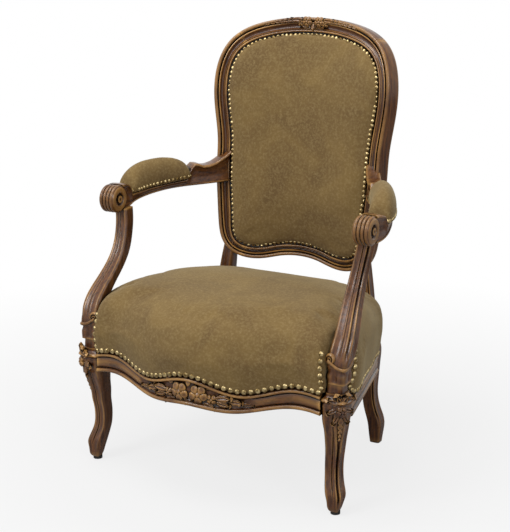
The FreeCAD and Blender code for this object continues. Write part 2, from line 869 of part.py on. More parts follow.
# The foot of the support widens into a flange behind a volute that is rolled across its front
def arm_support():
    x, y, h = support_foot
    high = support_volute_height + support_flange_rise
    inset = support_flange_inset
    flange = box(x - h - support_flange, x + h - inset, y - h + inset, y + h + support_flange, front_block_top, high)
    half = h + support_volute_proud
    volute = rod(support_volute_radius, V(x - half, y - h + inset, support_volute_height), V(1, 0, 0), 2 * half)
    solid = support_post(0).fuse([flange, volute])
    above = box(0, far, -far, far, support_top_height, far)
    holes = [support_dowel(joint_clearance, True), support_dowel(joint_clearance, False)]
    return solid.cut([above, below_seat_plane()] + holes)


def glide():
    middle = V(front_leg_x, front_leg_y, 0)
    pin = peg(glide_pin_radius, middle, V(0, 0, 1), glide_height + glide_pin_length)
    return rod(glide_radius, middle, V(0, 0, 1), glide_height).fuse(pin)


def glide_hole():
    r = glide_pin_radius + joint_clearance
    return peg(r, V(front_leg_x, front_leg_y, 0), V(0, 0, 1), glide_height + glide_pin_length + glide_pin_gap)


# Corner blocks: triangles glued and screwed into the four corners, notched round the leg blocks
def corner_triangle(rear):
    reach = corner_block_leg
    y = rear_rail_y() if rear else front_rail_end_y + rail_thickness
    x = side_face_x(y, rail_thickness)
    if rear:
        points = [(x, y), (x - reach, y), (x + corner_block_splay, y - reach)]
    else:
        points = [(x, y), (x - reach, y - corner_block_slant), (x - corner_block_tilt, y + reach)]
    low = seat_plane(y, corner_block_drop + corner_block_height)
    return poly_face([V(px, py, low) for px, py in points]).extrude(V(0, 0, corner_block_height))


def corner_block(rear):
    block = corner_triangle(rear).common(inner_prism(0))
    return block.cut(leg_columns(0)).cut(corner_screws(rear, joint_clearance))


def screw(start, direction, grow):
    head = peg(screw_head_radius + grow, start, direction, screw_head_height)
    return head.fuse(peg(screw_radius + grow, start, direction, screw_length))


# Two screws in each block, one into each rail, driven square to the block's long face
def corner_screws(rear, grow=0.0):
    y = rear_rail_y() if rear else front_rail_end_y + rail_thickness
    z = seat_plane(y, corner_block_drop + corner_block_height / 2)
    x = side_face_x(y, rail_thickness)
    sign = -1 if rear else 1
    reach = corner_block_leg * screw_spacing
    into_side = screw(V(x - screw_head_setback, y + sign * reach, z), V(1, 0, 0), grow)
    into_end = screw(V(x - reach - screw_end_offset, y + sign * screw_head_setback, z), V(0, -sign, 0), grow)
    return [into_side, into_end]


def all_screws(grow=0.0):
    solids = []
    for one in corner_screws(False, grow) + corner_screws(True, grow):
        solids += [one, mirror(one)]
    return solids


def strip(x0, x1, y0, y1, drop, thickness):
    points = [V(x0, y0, seat_plane(y0, drop)), V(x0, y1, seat_plane(y1, drop)),
              V(x0, y1, seat_plane(y1, drop + thickness)), V(x0, y0, seat_plane(y0, drop + thickness))]
    return poly_face(points).extrude(V(x1 - x0, 0, 0))


# A cloth under the rails is cut to the step that it is nailed into, and round the leg blocks
def fitted_below(cloth):
    return cloth.common(inner_prism(web_rebate - web_edge_gap)).cut(leg_columns(tenon_root + web_edge_gap))


def cross_webbing():
    y_front, y_rear = front_rail_end_y + rail_thickness - web_front_lap, rear_rail_y() + web_rebate
    half_width = web_width / 2
    strips = []
    for y in [y_front + (y_rear - y_front) * (k + 0.5) / web_cross_count for k in range(web_cross_count)]:
        half = side_face_x(y, rail_thickness) + web_rebate - web_end_gap
        strips.append(fitted_below(strip(-half, half, y - half_width, y + half_width, web_drop, web_thickness)))
    return Part.makeCompound(strips)


# The long strips lie below the cross ones
def long_webbing():
    y_rear = rear_rail_y() + web_rebate
    half = side_face_x(y_rear, rail_thickness) - web_side_margin
    half_width = web_width / 2
    strips = []
    for x in [half * (2 * (k + 0.5) / web_long_count - 1) for k in range(web_long_count)]:
        y = max(front_face_y(x) + rail_thickness, web_front_limit) - web_front_lap
        strips.append(fitted_below(strip(x - half_width, x + half_width, y, y_rear, web_drop + web_thickness, web_thickness)))
    return Part.makeCompound(strips)


def dust_cover():
    return fitted_below(strip(-far, far, -far, far, web_drop + 2 * web_thickness, dust_cover_thickness))


# One coil of square wire: a spiral of short straight runs, waisted in the middle
def spring(x, y):
    low = seat_plane(y, web_drop) + spring_wire / 2 + soft_gap
    high = seat_plane(y) + well_height - spring_wire / 2 - hessian_thickness - soft_gap
    points = []
    for k, share in enumerate(steps(0, 1, spring_turns * spring_sides)):
        angle = 2 * pi * k / spring_sides
        r = spring_waist_radius + (spring_end_radius - spring_waist_radius) * (2 * share - 1) ** 2
        points.append(V(x + r * cos(angle), y + r * sin(angle), low + (high - low) * share))
    start, direction = points[0], (points[1] - points[0]).normalize()
    across = direction.cross(V(0, 0, 1)).normalize()
    up = across.cross(direction)
    h = spring_wire / 2
    corners = [start + across * a * h + up * b * h for a, b in ((-1, -1), (1, -1), (1, 1), (-1, 1))]
    pipe = Part.BRepOffsetAPI.MakePipeShell(Part.makePolygon(points))
    pipe.setTransitionMode(1)
    pipe.add(Part.makePolygon(corners + [corners[0]]), False, True)
    pipe.build()
    pipe.makeSolid()
    return pipe.shape()


def springs():
    x, y = spring_spread_x, spring_spread_y
    places = [(-x, -y), (x, -y), (0, 0), (-x * spring_rear_share, y), (x * spring_rear_share, y)]
    return Part.makeCompound([spring(px, spring_middle_y + py) for px, py in places])


# The room that the hessian takes: a brim on the rail tops and a dome over the springs
def hessian_bulk():
    dome = inner_prism(-well_inset).common(below_seat_plane(-well_height))
    brim = inner_prism(hessian_brim).common(below_seat_plane(-hessian_thickness))
    return dome.fuse(brim)


def hessian():
    hollow = inner_prism(-well_inset - hessian_thickness).common(below_seat_plane(hessian_thickness - well_height))
    cloth = hessian_bulk().cut(hollow).cut(below_seat_plane())
    return cloth.removeSplitter().cut(leg_columns(hessian_post_gap))


# Plan of the seat cushion at one height, drawn in from the rails by an amount
def cushion_outline(inset, z):
    y0, y1 = front_rail_end_y, rear_block_y + rear_block_half - cushion_rear_gap
    right = [(x, front_face_y(x)) for x in steps(0.0, 235.0, 4)]
    right.append((side_face_x(y0 + cushion_corner_inset) - cushion_corner_inset, cushion_corner_y))
    sides = (cushion_haunch_y, cushion_front_side_y, cushion_mid_side_y, cushion_rear_side_y)
    right += [(side_face_x(y), y) for y in sides]
    right += [(side_face_x(y1) - cushion_rear_corner, y1), (0.0, y1 + cushion_rear_bow)]
    middle = (y0 + y1) / 2
    scale = 1 - inset / cushion_mean_radius
    outline = right + [(-x, y) for x, y in reversed(right[1:-1])]
    points = [V(x * scale, middle + (y - middle) * scale, z) for x, y in outline]
    return Part.makePolygon(points + [points[0]])


# The cushion before it is cut over the rails: a swollen side under a rounded edge and a low crown
def cushion_blank():
    low, high = cushion_foot_height, seat_shoulder_height
    rise, r = seat_crown_height - high, seat_top_round
    levels = [
        (low, -1.0), ((low + high) / 2 + seat_top_round / 2, -seat_side_bulge), (high, -2.0),
        (high + rise * 0.31, r * 0.25), (high + rise * 0.58, r * 0.9), (high + rise * 0.81, r * 2.2),
        (seat_crown_height, seat_crown_inset),
    ]
    return Part.makeLoft([cushion_outline(inset, z) for z, inset in levels], True, True)


# All that lies below the nails, in front and at each side
def below_seat_nails():
    y0 = front_leg_y + front_block_half
    hem = cover_hem_gap - cover_rebate_gap
    front = box(-far, far, -far, y0, 0, far).cut(front_slab(shifted(nail_curve(), hem), far))
    curve = spline([V(-far, y, z + hem) for y, z in side_nails()])
    a, b = curve.Vertexes[0].Point, curve.Vertexes[-1].Point
    corners = [V(-far, far, b.z), V(-far, far, 0), V(-far, y0 - far, 0), V(-far, y0 - far, a.z)]
    lines = [line(p, q) for p, q in zip([b] + corners, corners + [a])]
    side = Part.Face(Part.Wire([curve] + lines)).extrude(V(2 * far, 0, 0))
    return [front, side.common(box(-far, far, y0, far, 0, far))]


# The seat frame inside the cushion, with a small gap all over
def frame_bulk():
    top = below_seat_plane(-soft_gap)
    rebate = cover_rebate - soft_gap
    side = side_plan(rebate, rail_thickness)
    y = rear_rail_y()
    rear = box(-rear_block_x, rear_block_x, y, y + rear_rail_thickness + soft_gap, 0, far)
    return [solid.common(top) for solid in (front_plan(rebate, far), side, mirror(side), inner_prism(0), rear)]


# The posts that the cushion is cut round, and the corners behind and beside them
def posts_bulk():
    b = rear_block_half + post_gap
    x, y = front_leg_x - front_block_half - post_gap, front_leg_y + front_block_half + post_gap
    stile_side = rear_block_x - rear_block_half - stile_half_width
    posts = [
        box(rear_block_x - b, far, rear_block_y - b, far, 0, rear_block_top + rear_neck_drop),
        box(stile_side, far, rear_block_y - b + 3 * post_gap, far, rear_block_top - rear_neck_drop, far),
        box(x, far, -far, y, 0, stump_top() + post_gap),
        box(x, far, -far, y + cushion_rear_gap * 4, stump_top(), far),
        support_post(post_gap),
    ]
    return posts + [mirror(one) for one in posts]


def seat_cushion():
    solid = cushion_blank().cut(below_seat_nails() + frame_bulk() + posts_bulk() + [hessian_bulk()])
    return max(solid.Solids, key=lambda q: q.Volume)


# A closed form through outlines of the same count, drawn with flat facets
def facetted(outlines):
    faces = [poly_face(outlines[0]), poly_face(outlines[-1])]
    for low, high in zip(outlines, outlines[1:]):
        for k in range(len(low)):
            a, b, c, d = low[k - 1], low[k], high[k], high[k - 1]
            faces += [poly_face([a, b, c]), poly_face([a, c, d])]
    return Part.Solid(Part.makeShell(faces))


# Arm pad: half-round sections along the arm, drawn in at both ends
def pad_section(share):
    y = pad_front_y + soft_gap + (pad_rear_y - pad_front_y - 2 * soft_gap) * share
    fullness = sqrt(max(1 - abs(2 * share - 1) ** 3, 0.12))
    along = arm_share(y)
    middle, side = arm_middle(along), arm_side(along)
    half = (arm_half(along) + pad_overhang) * (pad_end_share + (1 - pad_end_share) * fullness)
    base = pad_base(y) + pad_gap
    rise = (pad_crown_height - base) * fullness
    points = []
    for u, w in ((half - pad_foot_inset, 0), (half, 0.35), (half * 0.8, 0.75), (half * 0.45, 0.94), (0, 1)):
        points.append(V(middle.x + side.x * u, y, base + rise * w))
    mirrored = [V(2 * middle.x - p.x, y, p.z) for p in points[:-1]]
    return points + mirrored[::-1]


def arm_pad():
    return facetted([pad_section(share) for share in steps(0.0, 1.0, pad_section_count)])


# Back pad: level slices with a crowned front, cut to the nail line
def back_region(outset):
    curve = back_line()
    right = []
    for u in steps(curve.FirstParameter, curve.LastParameter, back_region_count):
        p, t = curve.value(u), curve.tangent(u)[0]
        right.append(V(p.x + t.z * outset, 0, p.z - t.x * outset))
    right[0].x = 0
    right[-1].x = 0
    left = [V(-p.x, p.y, p.z) for p in reversed(right[1:-1])]
    return poly_face(right + left).extrude(V(0, far, 0))


# One level line across the back, set behind the face by a depth and swollen forward by a crown
def back_chords(z, depth, crown=0.0):
    half = back_broad_x + back_margin / 2
    shares = steps(-1.0, 1.0, back_chord_count)
    return [back_face(u * half, z) + V(0, depth - crown * (1 - u * u) ** 0.7, 0) for u in shares]


def back_outline(z, front_depth, rear_depth, crown=0.0):
    points = back_chords(z, front_depth, crown) + back_chords(z, rear_depth)[::-1]
    return Part.makePolygon(points + [points[0]])


# A sheet as hollow and as leaning as the frame, cut to the nail line and drawn out by an amount
def back_sheet(front_depth, rear_depth, outset):
    heights = (back_low_height - back_margin, back_top_height + back_margin)
    wires = [back_outline(z, front_depth, rear_depth) for z in heights]
    return Part.makeLoft(wires, True, True).common(back_region(outset))


def back_pad():
    rear = frame_rebate - 2 * soft_gap - back_web_thickness
    low, high = back_low_height - back_margin / 2, back_top_height + back_margin / 2
    wires = []
    for share in steps(0.0, 1.0, back_pad_levels):
        lift = back_pad_crown * max(1 - abs(2 * share - 1) ** 3, 0) ** 0.8
        wires.append(back_outline(low + (high - low) * share, rear - back_pad_edge, rear, lift))
    return Part.makeLoft(wires, True, True).common(back_region(-back_pad_inset))


# Webbing across and up the opening of the back, lying on the rebate of the frame
def back_webbing():
    rear = frame_rebate - soft_gap
    sheet = back_sheet(rear - back_web_thickness, rear, -back_web_inset)
    half = web_width / 2
    strips = [box(-half, half, 0, far, 0, far)]
    for z in steps(back_low_height, back_top_height, back_web_count + 1)[1:-1]:
        strips.append(box(-far, far, 0, far, z - half, z + half))
    return sheet.common(strips[0].fuse(strips[1:]))


def back_panel():
    return back_sheet(frame_depth - back_panel_thickness, frame_depth, -frame_inner - back_panel_lap)


def pair(shape, name):
    return {name + "_right": shape, name + "_left": mirror(shape)}


def rails_cut(rail):
    return rail.cut(all_screws(joint_clearance) + pegs(peg_radius + joint_clearance))


def finished_front_leg():
    cuts = [glide_hole(), front_tenon(joint_clearance), side_tenon(joint_clearance, False),
            support_dowel(joint_clearance, False)] + pegs(peg_radius + joint_clearance)
    return front_leg().common(below_seat_plane(0)).cut(cuts)


def assembly():
    pieces = {}
    pieces.update(pair(finished_front_leg(), "front_leg"))
    pieces.update(pair(rear_leg(), "rear_leg"))
    pieces["front_rail"] = rails_cut(front_rail())
    pieces.update(pair(rails_cut(side_rail()), "side_rail"))
    pieces["rear_rail"] = rails_cut(rear_rail())
    pieces["lower_back_rail"] = lower_back_rail()
    pieces["crest_rail"] = crest_rail()
    pieces.update(pair(arm(), "arm"))
    pieces.update(pair(arm_support(), "arm_support"))
    pieces.update(pair(glide(), "front_glide"))
    pieces.update(pair(corner_block(False), "front_corner_block"))
    pieces.update(pair(corner_block(True), "rear_corner_block"))
    pieces["corner_block_screws"] = Part.makeCompound(all_screws())
    pieces["tenon_pegs"] = Part.makeCompound(pegs(peg_radius))
    dowels = [support_dowel(0, True), support_dowel(0, False)]
    pieces["arm_dowels"] = Part.makeCompound(dowels + [mirror(d) for d in dowels])
    pieces["back_frame_dowels"] = back_frame_dowels()
    pieces["cross_webbing"] = cross_webbing()
    pieces["long_webbing"] = long_webbing()
    pieces["seat_springs"] = springs()
    pieces["spring_hessian"] = hessian()
    pieces["dust_cover"] = dust_cover()
    pieces["seat_cushion"] = seat_cushion()
    pieces["back_pad"] = back_pad()
    pieces["back_webbing"] = back_webbing()
    pieces["back_panel"] = back_panel()
    pieces.update(pair(arm_pad(), "arm_pad"))
    return pieces


def main():
    os.makedirs("parts", exist_ok=True)
    pieces = assembly()
    frame = FreeCAD.BoundBox()
    for shape in pieces.values():
        frame.add(shape.optimalBoundingBox(True, False))
    shift = V(-frame.Center.x, -frame.Center.y, -frame.ZMin)
    for name, shape in pieces.items():
        placed = shape.copy()
        placed.translate(shift)
        placed.exportStep("parts/" + name + ".step")
        print(name, placed.isValid(), len(placed.Solids), round(placed.Volume), placed.BoundBox)
    print("size", frame.XLength, frame.YLength, frame.ZLength, "shift", shift)


main()
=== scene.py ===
import json
from math import cos, exp, pi, radians, sin

import bmesh
import bpy
import numpy as np
from bpy.props import FloatProperty, FloatVectorProperty, PointerProperty
from mathutils import Matrix, Vector
from mathutils.bvhtree import BVHTree
from mathutils.kdtree import KDTree

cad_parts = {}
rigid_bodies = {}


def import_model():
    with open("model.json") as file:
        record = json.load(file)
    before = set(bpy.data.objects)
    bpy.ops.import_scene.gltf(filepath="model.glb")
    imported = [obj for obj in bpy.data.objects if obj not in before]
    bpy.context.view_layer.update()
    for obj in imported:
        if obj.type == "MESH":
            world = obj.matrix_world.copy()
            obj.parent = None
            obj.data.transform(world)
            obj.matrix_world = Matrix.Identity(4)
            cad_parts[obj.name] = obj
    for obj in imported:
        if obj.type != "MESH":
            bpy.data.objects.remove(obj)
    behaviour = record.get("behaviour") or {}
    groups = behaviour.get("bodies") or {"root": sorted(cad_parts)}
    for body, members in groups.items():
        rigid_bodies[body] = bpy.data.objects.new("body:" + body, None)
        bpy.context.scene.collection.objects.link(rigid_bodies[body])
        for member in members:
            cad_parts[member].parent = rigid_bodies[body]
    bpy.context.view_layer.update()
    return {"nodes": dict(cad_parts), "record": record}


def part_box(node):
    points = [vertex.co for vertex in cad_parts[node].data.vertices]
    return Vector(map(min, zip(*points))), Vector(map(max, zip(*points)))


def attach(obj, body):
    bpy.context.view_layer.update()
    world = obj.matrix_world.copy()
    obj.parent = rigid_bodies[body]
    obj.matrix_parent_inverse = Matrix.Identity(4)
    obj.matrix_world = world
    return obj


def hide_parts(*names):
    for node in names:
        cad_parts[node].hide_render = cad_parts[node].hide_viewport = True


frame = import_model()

bl_info = {
    "name": "Show-wood armchair",
    "version": (1, 0, 0),
    "blender": (4, 5, 0),
    "location": "View3D > Sidebar > Armchair",
    "description": "Builds a carved, nailed and velvet-covered armchair round its construction model",
    "category": "Add Mesh",
}

MM = 0.001
UP = Vector((0, 0, 1))
FRONT_LEG_X = 292.0
FRONT_LEG_Y = -210.0
glide_low, glide_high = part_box("front_glide_right")

# The drawing's own middle lies this far in front of the frame's, in millimetres
SHIFT_Y = (glide_low.y + glide_high.y) / 2 / MM - FRONT_LEG_Y


def at(x, y, z):
    """A point of the drawing, in millimetres, as a point of the frame in metres."""
    return Vector((x, y + SHIFT_Y, z)) * MM


def mix(a, b, share):
    return a + (b - a) * share


def ramp(value, low, high):
    """A smooth step from 0 at low to 1 at high."""
    share = min(max((value - low) / (high - low), 0.0), 1.0)
    return share * share * (3 - 2 * share)


def bump(value, middle, width):
    return exp(-((value - middle) / width) ** 2)


def shares(count, low=0.0, high=1.0):
    return [mix(low, high, k / count) for k in range(count + 1)]


class Line:
    """A smooth line through given points: a cubic with even slopes, as a bent batten lies."""

    def __init__(self, points, start=None, end=None):
        self.points = np.array(points, float)
        gaps = np.linalg.norm(np.diff(self.points[:, :2] if start is None else self.points, axis=0), axis=1)
        self.knots = np.concatenate([[0.0], np.cumsum(gaps)])
        self.slopes = self.solve(start, end)

    def solve(self, start, end):
        knots, points = self.knots, self.points
        count = len(knots)
        rows, right = np.zeros((count, count)), np.zeros_like(points)
        for k in range(1, count - 1):
            before, after = knots[k] - knots[k - 1], knots[k + 1] - knots[k]
            rows[k, k - 1], rows[k, k], rows[k, k + 1] = after, 2 * (before + after), before
            rise = after * (points[k] - points[k - 1]) / before + before * (points[k + 1] - points[k]) / after
            right[k] = 3 * rise
        for k, near, given in ((0, 1, start), (count - 1, count - 2, end)):
            rows[k, k] = 1.0 if given is not None else 2.0
            if given is not None:
                right[k] = given
                continue
            rows[k, near] = 1.0
            right[k] = 3 * (points[near] - points[k]) / (knots[near] - knots[k])
        return np.linalg.solve(rows, right)

    def place(self, share):
        return self.reading(share * self.knots[-1])

    def reading(self, knot):
        k = min(max(int(np.searchsorted(self.knots, knot)) - 1, 0), len(self.knots) - 2)
        span = self.knots[k + 1] - self.knots[k]
        u = (knot - self.knots[k]) / span
        a, b = self.points[k], self.points[k + 1]
        m, n = self.slopes[k] * span, self.slopes[k + 1] * span
        start = (2 * u**3 - 3 * u**2 + 1) * a + (u**3 - 2 * u**2 + u) * m
        return start + (3 * u**2 - 2 * u**3) * b + (u**3 - u**2) * n

    def tangent(self, share, step=0.0005):
        low, high = max(share - step, 0.0), min(share + step, 1.0)
        run = self.place(high) - self.place(low)
        return run / np.linalg.norm(run)


class Height:
    """A smooth curve over one measure: it gives a row of values at any height or reach."""

    def __init__(self, rows):
        rows = sorted(rows)
        self.low, self.high = rows[0][0], rows[-1][0]
        self.line = Line([(row[0], 0.0) + tuple(row[1:]) for row in rows])
        self.line.knots = np.array([row[0] for row in rows]) - self.low
        self.line.slopes = self.line.solve(None, None)

    def __call__(self, value):
        value = min(max(value, self.low), self.high)
        found = self.line.reading(value - self.low)[2:]
        return float(found[0]) if len(found) == 1 else [float(v) for v in found]


def deselect():
    if bpy.context.mode != "OBJECT":
        bpy.ops.object.mode_set(mode="OBJECT")
    bpy.ops.object.select_all(action="DESELECT")


def work_on(piece):
    deselect()
    piece.select_set(True)
    bpy.context.view_layer.objects.active = piece


def named(name):
    piece = bpy.context.object
    piece.name = name
    piece.data.name = name
    return piece


def join(name, pieces):
    """Joins pieces into one object, as parts of a carving that are one piece of wood."""
    work_on(pieces[0])
    for other in pieces:
        other.select_set(True)
    bpy.ops.object.join()
    return named(name)


def even_normals(piece):
    work_on(piece)
    bpy.ops.object.mode_set(mode="EDIT")
    bpy.ops.mesh.select_all(action="SELECT")
    bpy.ops.mesh.normals_make_consistent(inside=False)
    bpy.ops.object.mode_set(mode="OBJECT")


def smooth(piece, angle=50.0):
    work_on(piece)
    bpy.ops.object.shade_smooth_by_angle(angle=radians(angle))
    return piece


def modify(piece, name, kind, **settings):
    """Adds a modifier with its settings and applies it."""
    work_on(piece)
    modifier = piece.modifiers.new(name, kind)
    for key, value in settings.items():
        setattr(modifier, key, value)
    bpy.ops.object.modifier_apply(modifier=modifier.name)
    return piece


def subdivide(piece, levels=1):
    return modify(piece, "Subdivision", "SUBSURF", levels=levels, render_levels=levels)


def mirrored(piece, name):
    """A copy on the other side of the chair, with its own mesh."""
    work_on(piece)
    bpy.ops.object.duplicate()
    twin = named(name)
    twin.scale.x = -1
    bpy.ops.object.transform_apply(location=False, rotation=False, scale=True)
    even_normals(twin)
    return twin


def sweep(name, rings, angle=50.0, capped=True):
    """A loop of vertices, extruded from ring to ring as a moulding is run, and closed at both ends."""
    deselect()
    count = len(rings[0])
    bpy.ops.mesh.primitive_circle_add(vertices=count, radius=0.01, location=(0, 0, 0))
    piece = named(name)
    bpy.ops.object.mode_set(mode="EDIT")
    for k, ring in enumerate(rings):
        if k:
            bpy.ops.mesh.extrude_region_move()
        mesh = bmesh.from_edit_mesh(piece.data)
        mesh.verts.ensure_lookup_table()
        new = mesh.verts[-count:]
        order = range(count) if not k else match([v.co for v in new], rings[k - 1])
        for vertex, where in zip(new, order):
            vertex.co = ring[where]
    bmesh.update_edit_mesh(piece.data)
    if capped:
        bpy.ops.mesh.edge_face_add()
        close_start(piece, count)
    bpy.ops.object.mode_set(mode="OBJECT")
    even_normals(piece)
    return smooth(piece, angle)


def match(places, ring):
    """Which point of the last ring each new vertex was extruded from."""
    tree = KDTree(len(ring))
    for k, point in enumerate(ring):
        tree.insert(point, k)
    tree.balance()
    return [tree.find(place)[1] for place in places]


def close_start(piece, count):
    bpy.ops.mesh.select_all(action="DESELECT")
    mesh = bmesh.from_edit_mesh(piece.data)
    mesh.verts.ensure_lookup_table()
    for vertex in mesh.verts[:count]:
        vertex.select = True
    mesh.select_flush(True)
    bmesh.update_edit_mesh(piece.data)
    bpy.ops.mesh.edge_face_add()


def finish_piece(piece, slot, material, *nodes, padded=None):
    """Hands a piece to the frame: what it rides on, what it stands for and what it is made of."""
    piece.data.materials.clear()
    piece.data.materials.append(material)
    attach(piece, "root")
    if nodes:
        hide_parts(*nodes)
    return piece


def arc(u, v, radius, start, end, count=5):
    """Points of a round stretch of a profile, with its angles in degrees."""
    return [(u + radius * cos(radians(a)), v + radius * sin(radians(a))) for a in shares(count, start, end)]


# The frame of the back: a hollow, leaning face with a moulding run round it

BACK_Y = 197.0
BACK_REFERENCE = 450.0
BACK_LEAN = 0.121
BACK_HOLLOW = 0.001204
BACK_LINE = [
    (0, 434), (56, 428), (112, 418), (150, 431), (163, 480), (172, 605), (173, 665), (186, 790), (163, 865),
    (97, 897), (0, 907),
]
CREST_JOINT = 0.80
LOWER_JOINT = 0.17
JOINT_GAP = 0.0005
FRAME_OUTER = 28.0
STILE_WIDENING = 4.5
CREST_WIDENING = 2.5
FRAME_DEPTH = 34.0
back_line = Line(BACK_LINE, start=(1, 0), end=(-1, 0))


def back_face(x, z):
    return Vector((x, BACK_Y + BACK_LEAN * (z - BACK_REFERENCE) - BACK_HOLLOW * x * x, z))


def back_normal(x):
    return Vector((2 * BACK_HOLLOW * x, 1, -BACK_LEAN)).normalized()


def on_back(share, outset, depth):
    """A point by the nail line of the back: out from the line along the face, and back from the face."""
    x, z = back_line.place(share)
    tangent = back_line.tangent(share)
    side_x, side_z = tangent[1], -tangent[0]
    lean = BACK_LEAN * side_z - 2 * BACK_HOLLOW * x * side_x
    reach = Vector((side_x, lean, side_z)).normalized()
    point = back_face(x, z) + reach * outset + back_normal(x) * depth
    return at(*point)


def frame_profile(outer):
    """Section of the back frame from the rebate outwards: fillet, hollow, groove, bead and back."""
    fillet = arc(5.0, 1.6, 2.6, 170, 350, 6)
    start, end = 8.4, outer - 13.4
    hollow = [(mix(start, end, t), -0.6 + 5.2 * sin(pi * t) ** 0.8) for t in shares(8, 0.04, 0.96)]
    lip = [(outer - 12.6, -0.8), (outer - 11.2, -0.2)]
    groove = [(outer - 10.4, 5.4), (outer - 9.0, 6.0), (outer - 8.2, 5.2)]
    bead = arc(outer - 4.1, 3.0, 4.2, 195, 352, 7)
    side = [(outer - 0.7, 8.0), (outer, 10.0), (outer + 0.2, 16.0), (outer - 0.4, 26.0)]
    rear = arc(outer - 6.5, 27.5, 6.2, 10, 90, 4)
    rear += [(2.0, FRAME_DEPTH), (-7.0, FRAME_DEPTH - 1.0), (-9.0, 31.0)]
    return [(-9.0, 7.0), (1.8, 6.2)] + fillet + hollow + lip + groove + bead + side + rear


def frame_ring(share):
    stile = ramp(share, LOWER_JOINT, LOWER_JOINT + 0.13)
    crest = ramp(share, CREST_JOINT - 0.1, CREST_JOINT + 0.05)
    outer = FRAME_OUTER + STILE_WIDENING * stile + CREST_WIDENING * crest
    return [on_back(share, u, v) for u, v in frame_profile(outer)]


def flip(ring):
    return [Vector((-p.x, p.y, p.z)) for p in ring]


def both_sides(rings):
    return rings + [flip(ring) for ring in reversed(rings[:-1])]


# Legs and posts: squares with soft corners, with a groove down the outer corner and a bead each side of it

OUTER_CORNER = -45.0
SQUARE_POINTS = 112


def squareness(angle, power):
    """How far a square with soft corners reaches at an angle, as a share of its half width."""
    return 1 / (abs(cos(angle)) ** power + abs(sin(angle)) ** power) ** (1 / power)


def carved_square(x, y, z, half_x, half_y, groove=0.0, spread=7.0, bead=0.0, hollow=0.0, line=0.0, power=5.0):
    """A ring with a groove on its outer corner, and beads, hollows and fine lines on both sides of it."""
    ring = []
    for k in range(SQUARE_POINTS):
        angle = 360.0 * k / SQUARE_POINTS
        c, s = cos(radians(angle)), sin(radians(angle))
        radius = squareness(radians(angle), power)
        turn = (angle - OUTER_CORNER + 180) % 360 - 180
        cut = -groove * bump(turn, 0, spread)
        cut += bead * (bump(abs(turn), spread * 1.9, spread * 0.8) + bump(abs(turn), 78, 7))
        cut -= hollow * bump(abs(turn), 52, 16) + line * bump(abs(turn), 36, 3.6)
        ring.append(at(x + (half_x * radius + cut) * c, y + (half_y * radius + cut) * s, z))
    return ring


LEG_FOOT = 8.0
LEG_TOP = 262.0
LEG_STUB = 283.0
FRONT_LEG = Height([
    (8, 292, -213.5, 9.5), (12, 292, -214, 11.5), (25, 292, -212, 14.5), (40, 291, -210, 17),
    (60, 286, -205, 16.5), (80, 282, -199, 15.5), (100, 281, -197, 15.5), (120, 282, -197, 16),
    (140, 284, -199, 17), (160, 285, -200, 18.5), (180, 287, -203, 20.5), (200, 288, -206, 23),
    (225, 291, -209, 25), (262, 292, -210, 25),
])


def knee_bead(z):
    """The mouldings of the seat rails, run on round the top of the leg."""
    return 3.0 * bump(z, 247.5, 3.6) - 1.4 * bump(z, 241.0, 2.4) - 5.5 * ramp(z, 251.5, 254.5)


def front_leg(name):
    rings = []
    for z in shares(84, LEG_FOOT, LEG_TOP):
        x, y, half = FRONT_LEG(z)
        half += knee_bead(z)
        spread = mix(6.5, 13.0, ramp(z, 120, 205))
        worked = ramp(z, 14, 40) * (1 - ramp(z, 205, 235))
        line = 2.6 * ramp(z, 18, 60) * (1 - ramp(z, 226, 238))
        cuts = (5.5 * worked, spread, 1.8 * worked, 1.2 * worked, line)
        rings.append(carved_square(x, y, z, half, half, *cuts))
    x, y, half = FRONT_LEG(LEG_TOP)
    half += knee_bead(LEG_TOP)
    for height, less in ((LEG_TOP + 1, 2), (LEG_STUB, 3)):
        rings.append(carved_square(x - 1, y + 1, height, half - less, half - less))
    return sweep(name, rings)


POST_TOP = 446.0
REAR_LEG = Height([
    (0, 212, 172, 11.5, 11.5), (20, 211, 174, 14, 14), (46, 209, 177, 16.5, 16.5), (75, 202, 173, 16, 16),
    (110, 196.5, 168, 15, 15), (145, 195, 165.5, 17, 17), (172, 193.5, 165, 20.5, 20.5),
    (200, 193.5, 165, 22.5, 22.5), (232, 193, 165, 22.5, 22.5), (252, 190, 165.5, 19, 19),
    (275, 187, 167, 17.5, 16.5), (345, 178, 172, 17, 16), (400, 172, 176, 14.5, 14),
    (446, 168, 181, 10.5, 10.5),
])


def rear_leg(name):
    rings = []
    for z in shares(60, 0, POST_TOP):
        x, y, half_x, half_y = REAR_LEG(z)
        worked = ramp(z, 40, 70) * (1 - ramp(z, 150, 185)) + 0.8 * ramp(z, 260, 300)
        rings.append(carved_square(x, y, z, half_x, half_y, 3.2 * worked, 5.0, 1.0 * worked, 1.0 * worked))
    return sweep(name, rings)


SUPPORT = Height([
    (281, 295, -208, 19), (330, 295, -201, 22), (370, 296, -181, 20.5), (410, 289, -146, 18),
    (450, 284, -114, 16), (490, 285, -95, 15), (520, 288, -86, 15), (553, 292, -82, 15),
])
SUPPORT_FOOT = 281.0
SUPPORT_HEAD = 545.0
SUPPORT_PANEL = 306.0
SUPPORT_POWER = 6.0
VOLUTE_HEIGHT = 331.0
CRESCENT_TURN = 82.0
VOLUTE = [(0.0, 1.0), (2.6, 3.2), (2.2, 4.6), (-0.6, 5.4), (-0.4, 6.6), (2.4, 7.4), (2.6, 9.6), (0.4, 11.4),
          (-9.0, 11.8)]


